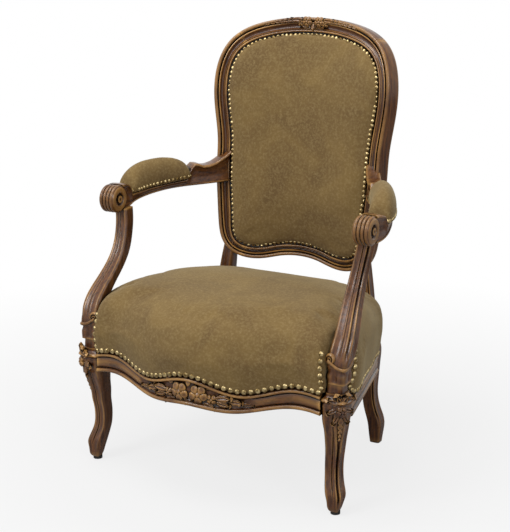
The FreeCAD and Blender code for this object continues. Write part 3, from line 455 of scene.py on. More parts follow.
def arm_support(name):
    """Two ridges run up each face from a volute and a crescent, over a panel with a flute at its foot."""
    rings = []
    for z in shares(84, SUPPORT_FOOT, SUPPORT_HEAD):
        x, y, half = SUPPORT(z)
        half -= 2.6 * bump(z, SUPPORT_PANEL, 6.0)
        worked = ramp(z, 322, 350) * (1 - ramp(z, 530, SUPPORT_HEAD) * 0.5)
        foot = ramp(z, 284, 288) * (1 - ramp(z, 296, 304))
        cuts = (5.2 * worked, 7.0, 2.0 * worked, 1.6 * worked + 3.0 * foot, 2.4 * worked)
        rings.append(carved_square(x, y, z, half, half, *cuts, power=SUPPORT_POWER))
    return join(name, [sweep(name, rings), crescent(name + "_crescent"), volute(name + "_volute")])


def crescent(name):
    """A round bar that hangs across the support's foot, lowest at its corner."""
    rings = []
    x, y, half = SUPPORT(SUPPORT_PANEL)
    for turn in shares(28, -CRESCENT_TURN, CRESCENT_TURN):
        angle = radians(turn + OUTER_CORNER)
        reach = half * squareness(angle, SUPPORT_POWER) - 0.4
        height = SUPPORT_PANEL + 7 + 15 * (turn / CRESCENT_TURN) ** 2
        bar = [(reach + 3.4 * cos(radians(a)), 3.6 * sin(radians(a))) for a in range(0, 360, 36)]
        rings.append([at(x + r * cos(angle), y + r * sin(angle), height + w) for r, w in bar])
    return sweep(name, rings)


def volute(name):
    """The curled end of the support's inner ridge."""
    x, y, half = SUPPORT(VOLUTE_HEIGHT)
    centre = at(x - half + 7.5, y - half - 0.6, VOLUTE_HEIGHT)
    return turned(name, VOLUTE, centre, Vector((-0.12, -1, 0)).normalized(), 28)


# Seat rails: lower edge, nail line and face, as the construction has them

REACH = FRONT_LEG_X - 25.0
SIDE_FRONT = FRONT_LEG_Y + 25.0
SIDE_REAR = 165.0 - 22.5
RAIL_THICKNESS = 34


def mirrored_rows(rows):
    return rows + [(-x, z) for x, z in rows if x]


front_nail_height = Height(mirrored_rows([(0, 275), (114, 250), (205, 268), (292, 255)]))
front_lower_height = Height(mirrored_rows([(0, 210), (100, 203), (205, 220), (292, 209)]))
side_nail_height = Height([(-210, 250), (-11.25, 239), (187.5, 220)])
side_lower_height = Height([(-186, 204), (-21, 200), (143.5, 178)])


def front_face(x):
    return -236 - 68 * (0.5 + 0.5 * cos(pi * min(abs(x) / REACH, 1.0)))


def side_face(y):
    share = (y + 210) / 375
    return 317 - 101 * share + 6 * sin(pi * min(max(share, 0.0), 1.0))


def rail_profile(low, high, carved=0.0):
    """Out and up: a bead along the foot, a groove, a worked field, a groove and a bead under the cover."""
    foot = arc(-0.6, low + 4.6, 4.4, -80, 75, 5)
    field = [(-2.6, low + 10.0), (-0.2 - carved, low + 12.5), (0.9 - carved, mix(low + 12, high - 9, 0.5)),
             (-0.2 - carved, high - 11.0), (-2.9, high - 8.8)]
    top = arc(-0.6, high - 4.2, 3.4, -70, 80, 4)
    back = [(-6, high + 3), (-6.4, high + 14), (-RAIL_THICKNESS, high + 14)]
    return [(-RAIL_THICKNESS, low + 2), (-20, low + 0.4)] + foot + field + top + back


def moulded(base, normal, profile):
    """The section of a rail, set at a place along it and facing out."""
    return [at(*(base + normal * u + UP * z)) for u, z in profile]


def front_rail(name):
    rings = []
    for x in shares(110, -REACH, REACH):
        slope = (front_face(x + 0.5) - front_face(x - 0.5))
        normal = Vector((slope, -1, 0)).normalized()
        carved = 4.6 * (1 - ramp(abs(x), 118, 142))
        low, high = front_lower_height(x), front_nail_height(x) - 6
        base = Vector((x, front_face(x), 0))
        rings.append(moulded(base, normal, rail_profile(low, high, carved)))
    return sweep(name, rings)


def side_rail(name):
    rings = []
    for y in shares(60, SIDE_FRONT, SIDE_REAR):
        slope = side_face(y + 0.5) - side_face(y - 0.5)
        normal = Vector((1, -slope, 0)).normalized()
        low, high = side_lower_height(y), side_nail_height(y) - 6
        base = Vector((side_face(y), y, 0))
        rings.append(moulded(base, normal, rail_profile(low, high)))
    return sweep(name, rings)


# Arms: a shaped bar from the scroll to the back, with the pad's seat on its top

SCROLL_X = 301.0
SCROLL_Y = -110.0
SCROLL_Z = 568.0
SCROLL_RADIUS = 30.0
SCROLL_HALF = 18.5
SCROLL_REEDS = 4
ARM_JOINT_X = 196.0
ARM_FRONT_HALF = 22.0
ARM_REAR_HALF = 15.0
ARM_BOW = 13.0
PAD_FRONT = -58.0
PAD_REAR = 98.0
ARM_REAR_Y = back_face(ARM_JOINT_X, 606).y + FRAME_DEPTH * 0.45
ARM_END_Y = ARM_REAR_Y + 4.0
ARM_UNDER = [(-110, 540), (-75, 541), (-50, 549), (-20, 556), (20, 562), (60, 566), (110, 567), (200, 567)]
ARM_OVER = [(-110, 598), (-82, 597), (-66, 592), (-59, 583), (-55, 571), (20, 577.5), (88, 583.5),
            (93, 596), (99, 610), (106, 617), (114, 616), (124, 611), (136, 611), (150, 615), (175, 629),
            (200, 646)]
arm_under = Height(ARM_UNDER)


def arm_over(y):
    return float(np.interp(y, [row[0] for row in ARM_OVER], [row[1] for row in ARM_OVER]))


def arm_middle(share):
    bow = 0.5 * (1 - cos(pi * share))
    x = 307 + (ARM_JOINT_X - 14 - 307) * (0.45 * share * share + 0.55 * bow)
    x += ARM_BOW * max(sin(pi * share), 0.0) ** 1.5 - 6 * (1 - ramp(share, 0.0, 0.2))
    return Vector((x, mix(SCROLL_Y, ARM_END_Y, share), 0))


def arm_side(share):
    run = (arm_middle(share + 0.01) - arm_middle(share - 0.01)).normalized()
    return Vector((run.y, -run.x, 0))


def arm_half(share):
    return mix(SCROLL_HALF, mix(ARM_FRONT_HALF, ARM_REAR_HALF, share), ramp(share, 0.06, 0.22))


def arm_share(y):
    return (y - SCROLL_Y) / (ARM_END_Y - SCROLL_Y)


def arm_ring(share):
    """Section of the arm: a bead along its foot and its top edge, with a groove or a hollow between them."""
    centre, side, half = arm_middle(share), arm_side(share), arm_half(share)
    low, high = arm_under(centre.y), arm_over(centre.y)
    tall = high - low
    depth = 1.2 + 5.0 * ramp(tall, 24, 48)
    foot, crown = low + min(5.5, tall * 0.34), high - min(6.0, tall * 0.34)
    right = [(half - 8, low), (half - 3, low + 0.4), (half - 0.4, low + 2.2), (half, foot - 2.2),
             (half - 0.6, foot - 0.6), (half - 2.4, foot), (half - 2.6, foot + 0.9),
             (half - 1.4 - depth * 0.5, mix(foot, crown, 0.25)),
             (half - 1.4 - depth, mix(foot, crown, 0.55)),
             (half - 1.4 - depth * 0.6, mix(foot, crown, 0.82)), (half - 2.4, crown - 0.6),
             (half - 0.5, crown + 0.4), (half, crown + 1.8), (half - 0.6, high - 1.8),
             (half - 2.6, high - 0.5), (half - 6, high)]
    outline = right + [(0, high + 0.4)] + [(-u, z) for u, z in reversed(right)] + [(0, low - 0.3)]
    return [at(*(centre + side * u + Vector((0, 0, z)))) for u, z in outline]


def turned(name, rows, centre, axis, count=48, angle=50.0):
    """A turned form: radii along an axis, spun round it."""
    across = axis.orthogonal().normalized()
    other = axis.cross(across)
    rings = []
    for along, radius in rows:
        spokes = [2 * pi * k / count for k in range(count)]
        rim = [(across * cos(a) + other * sin(a)) * radius * MM for a in spokes]
        rings.append([centre + axis * along * MM + spoke for spoke in rim])
    return sweep(name, rings, angle)


def arm_scroll(name):
    """The rolled end of the arm, carved with flutes round it and an eye in each cheek."""
    cheek = [(0.4, 1.5), (-1.6, 5.0), (-0.8, 7.6), (4.5, 8.6), (5.0, 12.5), (0.6, 14.0), (-0.6, 17.0),
             (-0.8, 22.0), (0.8, 26.4)]
    rows = [(-SCROLL_HALF + u, r) for u, r in cheek]
    for share in shares(44):
        u = mix(-SCROLL_HALF + 2.0, SCROLL_HALF - 2.0, share)
        reed = abs(sin(pi * SCROLL_REEDS * share)) ** 0.55
        rows.append((u, SCROLL_RADIUS - 3.0 + 3.0 * reed))
    rows += [(-u, r) for u, r in reversed(rows[:len(cheek)])]
    return turned(name, rows, at(SCROLL_X, SCROLL_Y, SCROLL_Z), Vector((1, 0, 0)), 56)


def arm(name):
    rings = [arm_ring(s) for s in shares(130, 0.05, 1.0)]
    return join(name, [sweep(name + "_bar", rings), arm_scroll(name + "_roll")])


def upright(name):
    rings = [frame_ring(s) for s in shares(110, LOWER_JOINT, CREST_JOINT - JOINT_GAP)]
    return sweep(name, rings)


# Carved ornaments: petals, buds and leaves set on the wood. A spot is a place and the way it faces

def facing(normal, up):
    """Turns a form whose front is +Z and whose top is +Y to face along a normal."""
    z = normal.normalized()
    x = up.cross(z).normalized()
    return Matrix((x, z.cross(x), z)).transposed().to_4x4()


def set_on(piece, spot, turn, up):
    """Sets a carved form on the wood: at its place, facing out and turned on the spot."""
    centre, normal = spot
    piece.data.transform(Matrix.Translation(centre) @ facing(normal, up) @ Matrix.Rotation(turn, 4, "Z"))
    return piece


def bud(name, spot, width, length, depth, turn=0.0, up=UP):
    """A petal or a bud: a ball drawn to an egg, with its own slope, and pinched at its foot."""
    deselect()
    bpy.ops.mesh.primitive_uv_sphere_add(segments=16, ring_count=10, radius=1.0, location=(0, 0, 0))
    piece = named(name)
    for vertex in piece.data.vertices:
        x, y, z = vertex.co
        pinch = 0.62 + 0.38 * ramp(y, -1.0, 0.4)
        dish = -0.35 * (1 - x * x) * ramp(z, -0.2, 0.9) * ramp(y, -0.6, 0.6)
        vertex.co = Vector((x * pinch * width / 2, y * length / 2, (z + dish) * depth)) * MM
    return set_on(piece, spot, turn, up)


THINNEST_LEAF = 2.5
LEAF_LOBES = 3


def leaf(name, spot, width, length, lift, turn=0.0):
    """A carved leaf: a sheet with a sunk rib, a lobed edge and a raised, curling tip."""
    deselect()
    bpy.ops.mesh.primitive_grid_add(x_subdivisions=12, y_subdivisions=22, size=2, location=(0, 0, 0))
    piece = named(name)
    for vertex in piece.data.vertices:
        x, y, _ = vertex.co
        share = (y + 1) / 2
        lobed = 1 - 0.14 * abs(sin(pi * LEAF_LOBES * share))
        outline = sin(pi * min(share * 0.96 + 0.04, 1.0)) ** 0.7 * lobed
        height = lift * (0.35 + 0.65 * share) * (1 - 0.75 * x * x) - 0.45 * lift * bump(x, 0, 0.16)
        height += 0.10 * lift * cos(pi * 4 * abs(x)) * sin(pi * share)
        vertex.co = Vector((x * outline * width / 2, share * length, height)) * MM
    modify(piece, "Thickness", "SOLIDIFY", thickness=max(lift, THINNEST_LEAF) * MM, offset=-1)
    set_on(piece, spot, turn, UP)
    even_normals(piece)
    return piece


def flower(name, spot, radius, petals=5, depth=4.5):
    """Petals round a button, as on the seat rail, the knees and the crest."""
    centre, normal = spot
    parts = []
    for k in range(petals):
        turn = 2 * pi * (k + 0.5) / petals
        reach = facing(normal, UP) @ Matrix.Rotation(turn, 4, "Z") @ Vector((0, radius * 0.56, 0)) * MM
        spot = (centre + reach, normal)
        parts.append(bud(name + "_petal", spot, radius * 0.92, radius * 0.95, depth, turn))
    button = (centre + normal.normalized() * depth * 0.35 * MM, normal)
    parts.append(bud(name + "_button", button, radius * 0.62, radius * 0.62, depth * 0.8))
    return parts


RAIL_CARVING_X = 4.0
RAIL_LEAVES = [
    (2, 212, 6, 26, -0.45, 5), (6, 212, 6, 20, -0.9, 5), (34, 219, 13, 26, -1.9, 6),
    (58, 232, 17, 32, -1.5, 6.5), (60, 223, 12, 28, -1.75, 5.5), (84, 227, 14, 28, -1.62, 5.5),
    (110, 223, 9, 26, -1.62, 4.5), (40, 250, 11, 20, -0.9, 5),
]


def on_rail(x, z, out=-3.0):
    slope = front_face(x + 0.5) - front_face(x - 0.5)
    normal = Vector((slope, -1, 0)).normalized()
    return at(*(Vector((x, front_face(x), z)) + normal * out)), normal


def rail_carving():
    """Two flowers on crossed stems in the middle of the front rail, with leaves that taper to each side."""
    parts = []
    for side in (-1, 1):
        middle = RAIL_CARVING_X
        parts += flower("rail_flower", on_rail(middle + side * 22, 237, -2.5), 20, 5, 7.5)
        parts += flower("rail_small_flower", on_rail(middle + side * 50, 229), 11, 4, 6.0)
        for x, z, width, length, turn, lift in RAIL_LEAVES:
            parts.append(leaf("rail_leaf", on_rail(middle + side * x, z), width, length, lift, side * turn))
        parts.append(bud("rail_berry", on_rail(middle + side * 105, 223), 10, 10, 6))
    parts.append(bud("rail_top_bud", on_rail(middle, 258, -2), 12, 14, 5))
    return join("front_rail_carving", parts)


KNEE_LEAVES = [
    (5, 246, 19, 27, -1.25, 7), (3, 243, 15, 21, -0.45, 8), (14, 233, 13, 24, -2.0, 6),
    (9, 222, 11, 24, -2.6, 5.5),
]
KNEE_HUSKS = (208, 195, 183, 172, 163)
LEG_CORNER = Vector((1, -1, 0)).normalized()


def on_knee(turn, z, out):
    """A place on the knee, turned from the corner of the leg in degrees, and its direction."""
    x, y, half = FRONT_LEG(z)
    angle = radians(turn + OUTER_CORNER)
    c, n = cos(angle), sin(angle)
    reach = half * squareness(angle, 5.0) + out
    return at(x + reach * c, y + reach * n, z), Vector((abs(c) ** 3 * c, abs(n) ** 3 * n, 0)).normalized()


def knee_carving(name):
    """A rosette under a rolled double leaf on the knee, with husks that drop down the corner of the leg."""
    parts = flower("knee_flower", (on_knee(0, 229, -1.5)[0], LEG_CORNER), 12, 5, 6.5)
    for side in (-1, 1):
        for turn, z, width, length, way, lift in KNEE_LEAVES:
            place, normal = on_knee(side * turn, z, -4.0)
            spot = (place, (normal + LEG_CORNER * 0.35).normalized())
            parts.append(leaf("knee_leaf", spot, width, length, lift, side * way))
    for k, z in enumerate(KNEE_HUSKS):
        size = 13 - 1.7 * k
        parts.append(bud("knee_husk", (on_knee(0, z, -3.2)[0], LEG_CORNER), size, size * 1.4, 4.6, up=-UP))
    return join(name, parts)


CREST_TRAIL = 7


def crest_carving():
    """Small flowers and rolled leaves on the middle of the crest, with leaves that trail to each side."""
    normal = Vector((0, -1, 0.12)).normalized()
    middle = on_back(1.0, 22.0, -1.0)

    def crest(x, rise, out):
        return middle + Vector((x, 0, rise)) * MM + normal * out * MM, normal

    parts = [bud("crest_bud", crest(0, -10, 0), 9, 18, 6)]
    for side in (-1, 1):
        parts += flower("crest_flower", crest(side * 15, 3, 0), 12.5, 5, 6.5)
        parts += flower("crest_small_flower", crest(side * 30, -1, 0), 8, 4, 5)
        parts.append(leaf("crest_leaf", crest(side * 3, -19, -1), 10, 24, 6, side * -0.4))
        parts.append(leaf("crest_leaf", crest(side * 7, -12, -1), 13, 26, 6, side * -1.2))
        for k in range(CREST_TRAIL):
            place = on_back(1.0 - 0.0155 * (k + 2.1), 29.5, -2.5)
            place.x *= side
            size = 1 - 0.09 * k
            turn = side * -(1.62 + 0.05 * k)
            parts.append(leaf("crest_trail", (place, normal), 13 * size, 27 * size, 6 * size, turn))
    return join("crest_carving", parts)


# Soft covers: closed forms, evened out, filled by a cloth run and kept

SEAT_MESH = 6.5
BACK_MESH = 5.5
ARM_MESH = 4.0


def side_at(y):
    return (side_face(y), y)


SEAT_MIDDLE = Vector((0, -25))
SEAT_SCALE = 250.0
SEAT_FALL = 26.0
seat_half = Line([(0, -304), (80, front_face(80)), (160, front_face(160)), (225, front_face(225)),
                  (262, -238), (286, -222), (300, -200),
                  (308, -170), side_at(-90), side_at(20), side_at(110), (216, 165), (190, 186), (120, 189),
                  (0, 190)], start=(1, 0), end=(-1, 0))


def pushed(x, y, z):
    """Keeps the cover of the seat clear of the arm support in front and the back post behind."""
    side = 1 if x >= 0 else -1
    x = abs(x)
    post_x, post_y, half = SUPPORT(max(z, SUPPORT_FOOT))
    half += 2.0
    reach = min(x - (post_x - half), (post_y + half) - y)
    if reach > 0:
        x, y = x - reach, y + reach
    post_x, post_y, half_x, half_y = REAR_LEG(z)
    reach = min(x - (post_x - half_x - 2.0), y - (post_y - half_y - 2.0))
    if reach > 0:
        x, y = x - reach, y - reach
    return side * x, y


def seat_hem(x, y):
    """Height of the nail line under any point of the seat's edge."""
    if y < -190 and abs(x) < 268:
        return front_nail_height(x)
    if y < -150:
        return mix(266.0, side_nail_height(-150), ramp(y, -190, -150))
    return side_nail_height(y)


RING_HALF = 96


def round_about():
    """Shares along a half outline, there and back again, with the side of the chair that each is on."""
    for k in range(2 * RING_HALF):
        yield (k / RING_HALF, 1) if k <= RING_HALF else (2 - k / RING_HALF, -1)


def seat_ring(inset, height):
    ring = []
    scale = 1 - inset / SEAT_SCALE
    for share, side in round_about():
        x, y = seat_half.place(share)
        x *= side
        z = height(seat_hem(x, y))
        flat = SEAT_MIDDLE + (Vector((x, y)) - SEAT_MIDDLE) * scale
        if inset < 100:
            flat = Vector(pushed(flat.x, flat.y, z))
        drop = SEAT_FALL * ramp(flat.y, -40, 190) * ramp(z, 300, 400)
        ring.append(at(flat.x, flat.y, z - drop))
    return ring


def seat_rows():
    """Insets and heights of the seat cover from its underside, round its edge, to its crown."""
    return [
        (150, lambda h: 338), (120, lambda h: 336), (60, lambda h: 318), (34, lambda h: 300),
        (9, lambda h: 292), (5.4, lambda h: h - 1), (5.0, lambda h: h - 7), (0.5, lambda h: h - 7.5),
        (-1.5, lambda h: h - 3), (-2.5, lambda h: h + 6), (-5, lambda h: h + 16),
        (-8, lambda h: mix(h, 340, 0.45)), (-7.5, lambda h: mix(h, 340, 0.75)), (-6, lambda h: 338),
        (-1, lambda h: 354), (7, lambda h: 368), (20, lambda h: 380), (42, lambda h: 390),
        (76, lambda h: 397), (115, lambda h: 401), (165, lambda h: 403), (215, lambda h: 404),
        (240, lambda h: 404.3),
    ]


def swell(piece, voxel, cap, frames=14, pressure=5.0):
    """Blows a cover out against its hem as stuffing does, and keeps the shape; cap gives the most travel."""
    modify(piece, "Even cover", "REMESH", mode="VOXEL", voxel_size=voxel * MM)
    modify(piece, "Relaxed cover", "SMOOTH", factor=0.5, iterations=6)
    fill(piece, cap, frames, pressure)
    return smooth(piece, 80)


def fill(piece, cap, frames, pressure):
    start = [vertex.co.copy() for vertex in piece.data.vertices]
    caps = [cap(point) for point in start]
    held = piece.vertex_groups.new(name="Held")
    for k, most in enumerate(caps):
        if most <= 0:
            held.add([k], 1.0, "REPLACE")
    cloth = piece.modifiers.new("Stuffing", "CLOTH")
    cloth.settings.vertex_group_mass = held.name
    cloth.settings.use_pressure = True
    cloth.settings.uniform_pressure_force = pressure
    cloth.settings.effector_weights.gravity = 0
    cloth.collision_settings.use_collision = False
    cloth.point_cache.frame_end = frames
    scene = bpy.context.scene
    for moment in range(1, frames + 1):
        scene.frame_set(moment)
    work_on(piece)
    bpy.ops.object.modifier_apply(modifier=cloth.name)
    for vertex, before, most in zip(piece.data.vertices, start, caps):
        travel = vertex.co - before
        if travel.length > most:
            vertex.co = before + travel * (most / travel.length)
    piece.vertex_groups.clear()
    scene.frame_set(1)


def seat_cushion(name, travel):
    piece = sweep(name, [seat_ring(inset, height) for inset, height in seat_rows()], 80)

    def cap(point):
        return travel * MM * ramp(point.z / MM, 300, 350)

    return subdivide(swell(piece, SEAT_MESH, cap))


PAD_MIDDLE_Z = 665.0


def pad_ring(scale, depth):
    ring = []
    for share, side in round_about():
        x, z = back_line.place(share)
        x, z = x * side * scale, PAD_MIDDLE_Z + (z - PAD_MIDDLE_Z) * scale
        ring.append(at(*(back_face(x, z) + back_normal(x) * depth)))
    return ring


def back_pad(name, travel):
    rows = [(0.3, 4.6), (0.7, 4.6), (0.995, 4.4), (1.0, 1.5), (0.996, -1.5), (0.982, -5), (0.95, -10.5),
            (0.9, -15.5), (0.82, -20), (0.7, -23.5), (0.55, -26), (0.4, -27.2), (0.25, -28), (0.1, -28.3)]
    piece = sweep(name, [pad_ring(scale, depth) for scale, depth in rows], 80)

    def cap(point):
        x, y, z = point.x / MM, point.y / MM - SHIFT_Y, point.z / MM
        front = back_face(x, z).y - y
        return travel * MM * ramp(front, 8, 20)

    return subdivide(swell(piece, BACK_MESH, cap))


ARM_PAD_CROWN = 637.0
ARM_PAD_OVERHANG = 7.5


def pad_base(y):
    return 570.3 + 14 * (y - PAD_FRONT) / (PAD_REAR - PAD_FRONT)


def arm_pad(name, travel):
    """A roll of stuffing on the arm, highest behind its middle, drawn down to the wood all round."""
    section = [(0.0, 1.0), (0.25, 0.98), (0.5, 0.91), (0.74, 0.77), (0.9, 0.58), (0.99, 0.38), (1.0, 0.2),
               (0.93, 0.05), (0.8, 0.0)]
    rings = []
    for k in range(25):
        share = k / 24
        y = mix(PAD_FRONT + 0.8, PAD_REAR - 0.8, share)
        along = arm_share(y)
        centre, side = arm_middle(along), arm_side(along)
        edge = max(1 - abs(2 * share - 1) ** 3.4, 0.0) ** 0.5
        half = (arm_half(along) + ARM_PAD_OVERHANG) * mix(0.74, 1.0, edge)
        rise = (ARM_PAD_CROWN - 5 + 5 * bump(y, 40, 60) - pad_base(y)) * mix(0.3, 1.0, edge)
        rise *= 1 - 0.08 * (1 - ramp(y, PAD_FRONT, 10))
        spokes = [(u, w) for u, w in section] + [(-u, w) for u, w in reversed(section[1:])]
        base = pad_base(centre.y)
        rings.append([at(*(centre + side * half * u + UP * (base + rise * w))) for u, w in spokes])
    piece = sweep(name, rings, 80)

    def cap(point):
        return travel * MM * ramp(point.z / MM, 588, 604)

    return subdivide(swell(piece, ARM_MESH, cap))


# Nails: one domed head, copied along each run of nails

def surface_of(piece):
    mesh = piece.data
    return BVHTree.FromPolygons([v.co for v in mesh.vertices], [tuple(p.vertices) for p in mesh.polygons])


def nail_head(name, width):
    """The domed head of an upholstery nail: half a ball, pressed flat and closed behind."""
    deselect()
    bpy.ops.mesh.primitive_uv_sphere_add(segments=10, ring_count=8, radius=width / 2 * MM, location=(0, 0, 0))
    head = named(name)
    bpy.ops.object.mode_set(mode="EDIT")
    bpy.ops.mesh.select_all(action="SELECT")
    bpy.ops.mesh.bisect(plane_co=(0, 0, 0), plane_no=(0, 0, 1), clear_inner=True, use_fill=True)
    bpy.ops.mesh.select_all(action="SELECT")
    bpy.ops.transform.resize(value=(1, 1, 0.62), center_override=(0, 0, 0))
    bpy.ops.object.mode_set(mode="OBJECT")
    return smooth(head, 60)


def set_nails(name, places, width, sink=0.1):
    """Copies of one nail head, each turned to face out of the surface and set into it a little."""
    head = nail_head(name + "_head", width)
    heads = []
    for place, normal in places:
        twin = head.copy()
        twin.data = head.data.copy()
        bpy.context.collection.objects.link(twin)
        turn = normal.to_track_quat("Z", "Y").to_matrix().to_4x4()
        twin.data.transform(Matrix.Translation(place - normal * sink * MM) @ turn)
        heads.append(twin)
    bpy.data.objects.remove(head)
    return join(name, heads)


def spaced(points, pitch):
    """Points at an even pitch along a line of points."""
    lengths = [0.0]
    for a, b in zip(points, points[1:]):
        lengths.append(lengths[-1] + (b - a).length)
    count = max(int(round(lengths[-1] / (pitch * MM))), 1)
    found, k = [], 0
    for step in shares(count):
        goal = step * lengths[-1]
        while k < len(points) - 2 and lengths[k + 1] < goal:
            k += 1
        span = lengths[k + 1] - lengths[k] or 1.0
        found.append(points[k].lerp(points[k + 1], (goal - lengths[k]) / span))
    return found


def on_surface(tree, point, away):
    """Where a line through a point meets a cover from outside, and the way a nail faces there."""
    hit, normal, _, _ = tree.ray_cast(point + away * 40 * MM, -away, 80 * MM)
    if hit is None:
        hit, normal, _, _ = tree.find_nearest(point)
    if normal.dot(away) < 0:
        normal = -normal
    return hit, (normal + away).normalized()


NAIL_RISE = 1.0
CORNER_NAILS = (272.0, 342.0)
REAR_NAILS = (190.0, 221.0)


def seat_nails(name, cushion, pitch, width):
    """Runs of nails along the front, the sides, the back and both edges by each arm support."""
    tree = surface_of(cushion)
    front = [at(x, front_face(x) - 2, front_nail_height(x) + NAIL_RISE) for x in shares(80, -264, 264)]
    runs = [(front, lambda p: Vector((p.x * 0.4 / 0.264, -1, 0)).normalized())]
    for side in (-1, 1):
        flank = [at(side * side_face(y), y, side_nail_height(y) + NAIL_RISE) for y in shares(60, -176, 136)]
        runs.append((flank, lambda p, s=side: Vector((s, 0.2, 0)).normalized()))
        inner, behind = [], []
        for z in shares(8, *CORNER_NAILS):
            x, y, half = SUPPORT(z)
            inner.append(at(side * (x - half - 6.5), front_face(265), z))
            behind.append(at(side * 312, y + half + 6.5, z - 8))
        runs.append((inner, lambda p, s=side: Vector((s * 0.25, -1, 0)).normalized()))
        runs.append((behind, lambda p, s=side: Vector((s, -0.1, 0)).normalized()))
    rear = [at(x, *REAR_NAILS) for x in shares(20, -150, 150)]
    runs.append((rear, lambda p: Vector((0, 1, 0))))
    places = [on_surface(tree, p, away(p)) for points, away in runs for p in spaced(points, pitch)]
    return set_nails(name, places, width)


def back_nails(name, pad, pitch, width):
    tree = surface_of(pad)
    right = [on_back(s, -3.2, 0) for s in shares(200)]
    line = right + [Vector((-p.x, p.y, p.z)) for p in reversed(right[:-1])]
    places = [on_surface(tree, p, -back_normal(p.x / MM)) for p in spaced(line, pitch)[:-1]]
    return set_nails(name, places, width)


def arm_nails(name, pad, pitch, width):
    tree = surface_of(pad)
    line = []
    for side in (1, -1):
        row = shares(24, PAD_FRONT + 6, PAD_REAR - 6)
        for y in row if side > 0 else reversed(row):
            along = arm_share(y)
            centre, across = arm_middle(along), arm_side(along)
            reach = (arm_half(along) + ARM_PAD_OVERHANG) * (0.8 if y in (row[0], row[-1]) else 1.0)
            line.append(at(*(centre + across * side * reach + Vector((0, 0, pad_base(centre.y) + 6.5)))))
    line.append(line[0].copy())
    centre = sum(line, Vector()) / len(line)
    places = []
    for point in spaced(line, pitch)[:-1]:
        out = point - centre
        away = Vector((out.x * 2.2, out.y * 0.6, 0)).normalized()
        places.append(on_surface(tree, point, away))
    return set_nails(name, places, width)


# Materials

def linear(colour):
    """An sRGB colour, written as six digits, turned to linear light."""
    parts = [int(colour[k:k + 2], 16) / 255 for k in (1, 3, 5)]
    return tuple(p / 12.92 if p <= 0.04045 else ((p + 0.055) / 1.055) ** 2.4 for p in parts) + (1.0,)


def node(tree, kind, inputs=None, **settings):
    """Adds a node with its settings, and sets or links its sockets."""
    new = tree.nodes.new("ShaderNode" + kind)
    for name, value in settings.items():
        setattr(new, name, value)
    return fit(tree, new, inputs or {})


def fit(tree, fitted, inputs):
    """Gives sockets, by name or in order, their values, or links where a value is another node's socket."""
    for key, value in inputs.items() if isinstance(inputs, dict) else enumerate(inputs):
        if isinstance(value, bpy.types.NodeSocket):
            tree.links.new(value, fitted.inputs[key])
        else:
            fitted.inputs[key].default_value = value
    return fitted


def new_material(name):
    material = bpy.data.materials.new(name)
    material.use_nodes = True
    tree = material.node_tree
    return material, tree, tree.nodes["Principled BSDF"], node(tree, "TexCoord").outputs["Object"]


GRAIN_ALONG = {"x": (1, 18, 18), "y": (18, 1, 18), "z": (18, 18, 1)}


def stained_wood(name, grain, colours, gloss=0.27):
    """Beech, carved, stained and French polished, with painted shade near black in the cuts and a painted
    highlight, mixed with wear, in honey on the edges.
    """
    material, tree, shader, place = new_material(name)
    fibres = node(tree, "Mapping", {"Vector": place, "Scale": GRAIN_ALONG[grain]}).outputs[0]
    growth = {"Vector": fibres, "Scale": 9.0, "Detail": 6.0, "Roughness": 0.62}
    figure = node(tree, "TexNoise", growth).outputs[0]
    pores = node(tree, "TexNoise", {"Vector": fibres, "Scale": 46.0, "Detail": 3.0}).outputs[0]
    patches = node(tree, "TexNoise", {"Vector": place, "Scale": 14.0, "Detail": 3.0}).outputs[0]
    # Ambient occlusion darkens the colour to near black in cuts and grooves: painted shade.
    cuts = node(tree, "AmbientOcclusion", {"Distance": 0.009}, samples=8).outputs["AO"]
    edges = node(tree, "NewGeometry").outputs["Pointiness"]
    streaks = node(tree, "MapRange", (figure, 0.34, 0.68)).outputs[0]
    # Pointiness lightens the sharp edges in random patches: a painted highlight, mixed with wear to honey.
    proud = node(tree, "MapRange", (edges, 0.505, 0.56)).outputs[0]
    handled = node(tree, "MapRange", (patches, 0.3, 0.6)).outputs[0]
    highlight_and_wear = node(tree, "Math", (proud, handled), operation="MULTIPLY").outputs[0]
    clear = node(tree, "MapRange", (cuts, 0.42, 0.88)).outputs[0]
    stain = {0: streaks, 6: colours.wood_dark, 7: colours.wood}
    for share, below, above in ((highlight_and_wear, None, colours.wood_highlight_and_wear), (clear, colours.wood_painted_shade, None)):
        under = node(tree, "Mix", stain, data_type="RGBA").outputs[2]
        stain = {0: share, 6: below or under, 7: above or under}
    fit(tree, shader, {
        "Base Color": node(tree, "Mix", stain, data_type="RGBA").outputs[2],
        "Roughness": node(tree, "MapRange", (patches, 0.2, 0.8, gloss - 0.06, gloss + 0.1)).outputs[0],
        "Normal": node(tree, "Bump", {"Height": pores, "Strength": 0.12, "Distance": 0.0004}).outputs[0],
        "Specular IOR Level": 0.4, "Coat Weight": 0.12, "Coat Roughness": 0.15,
    })
    return material


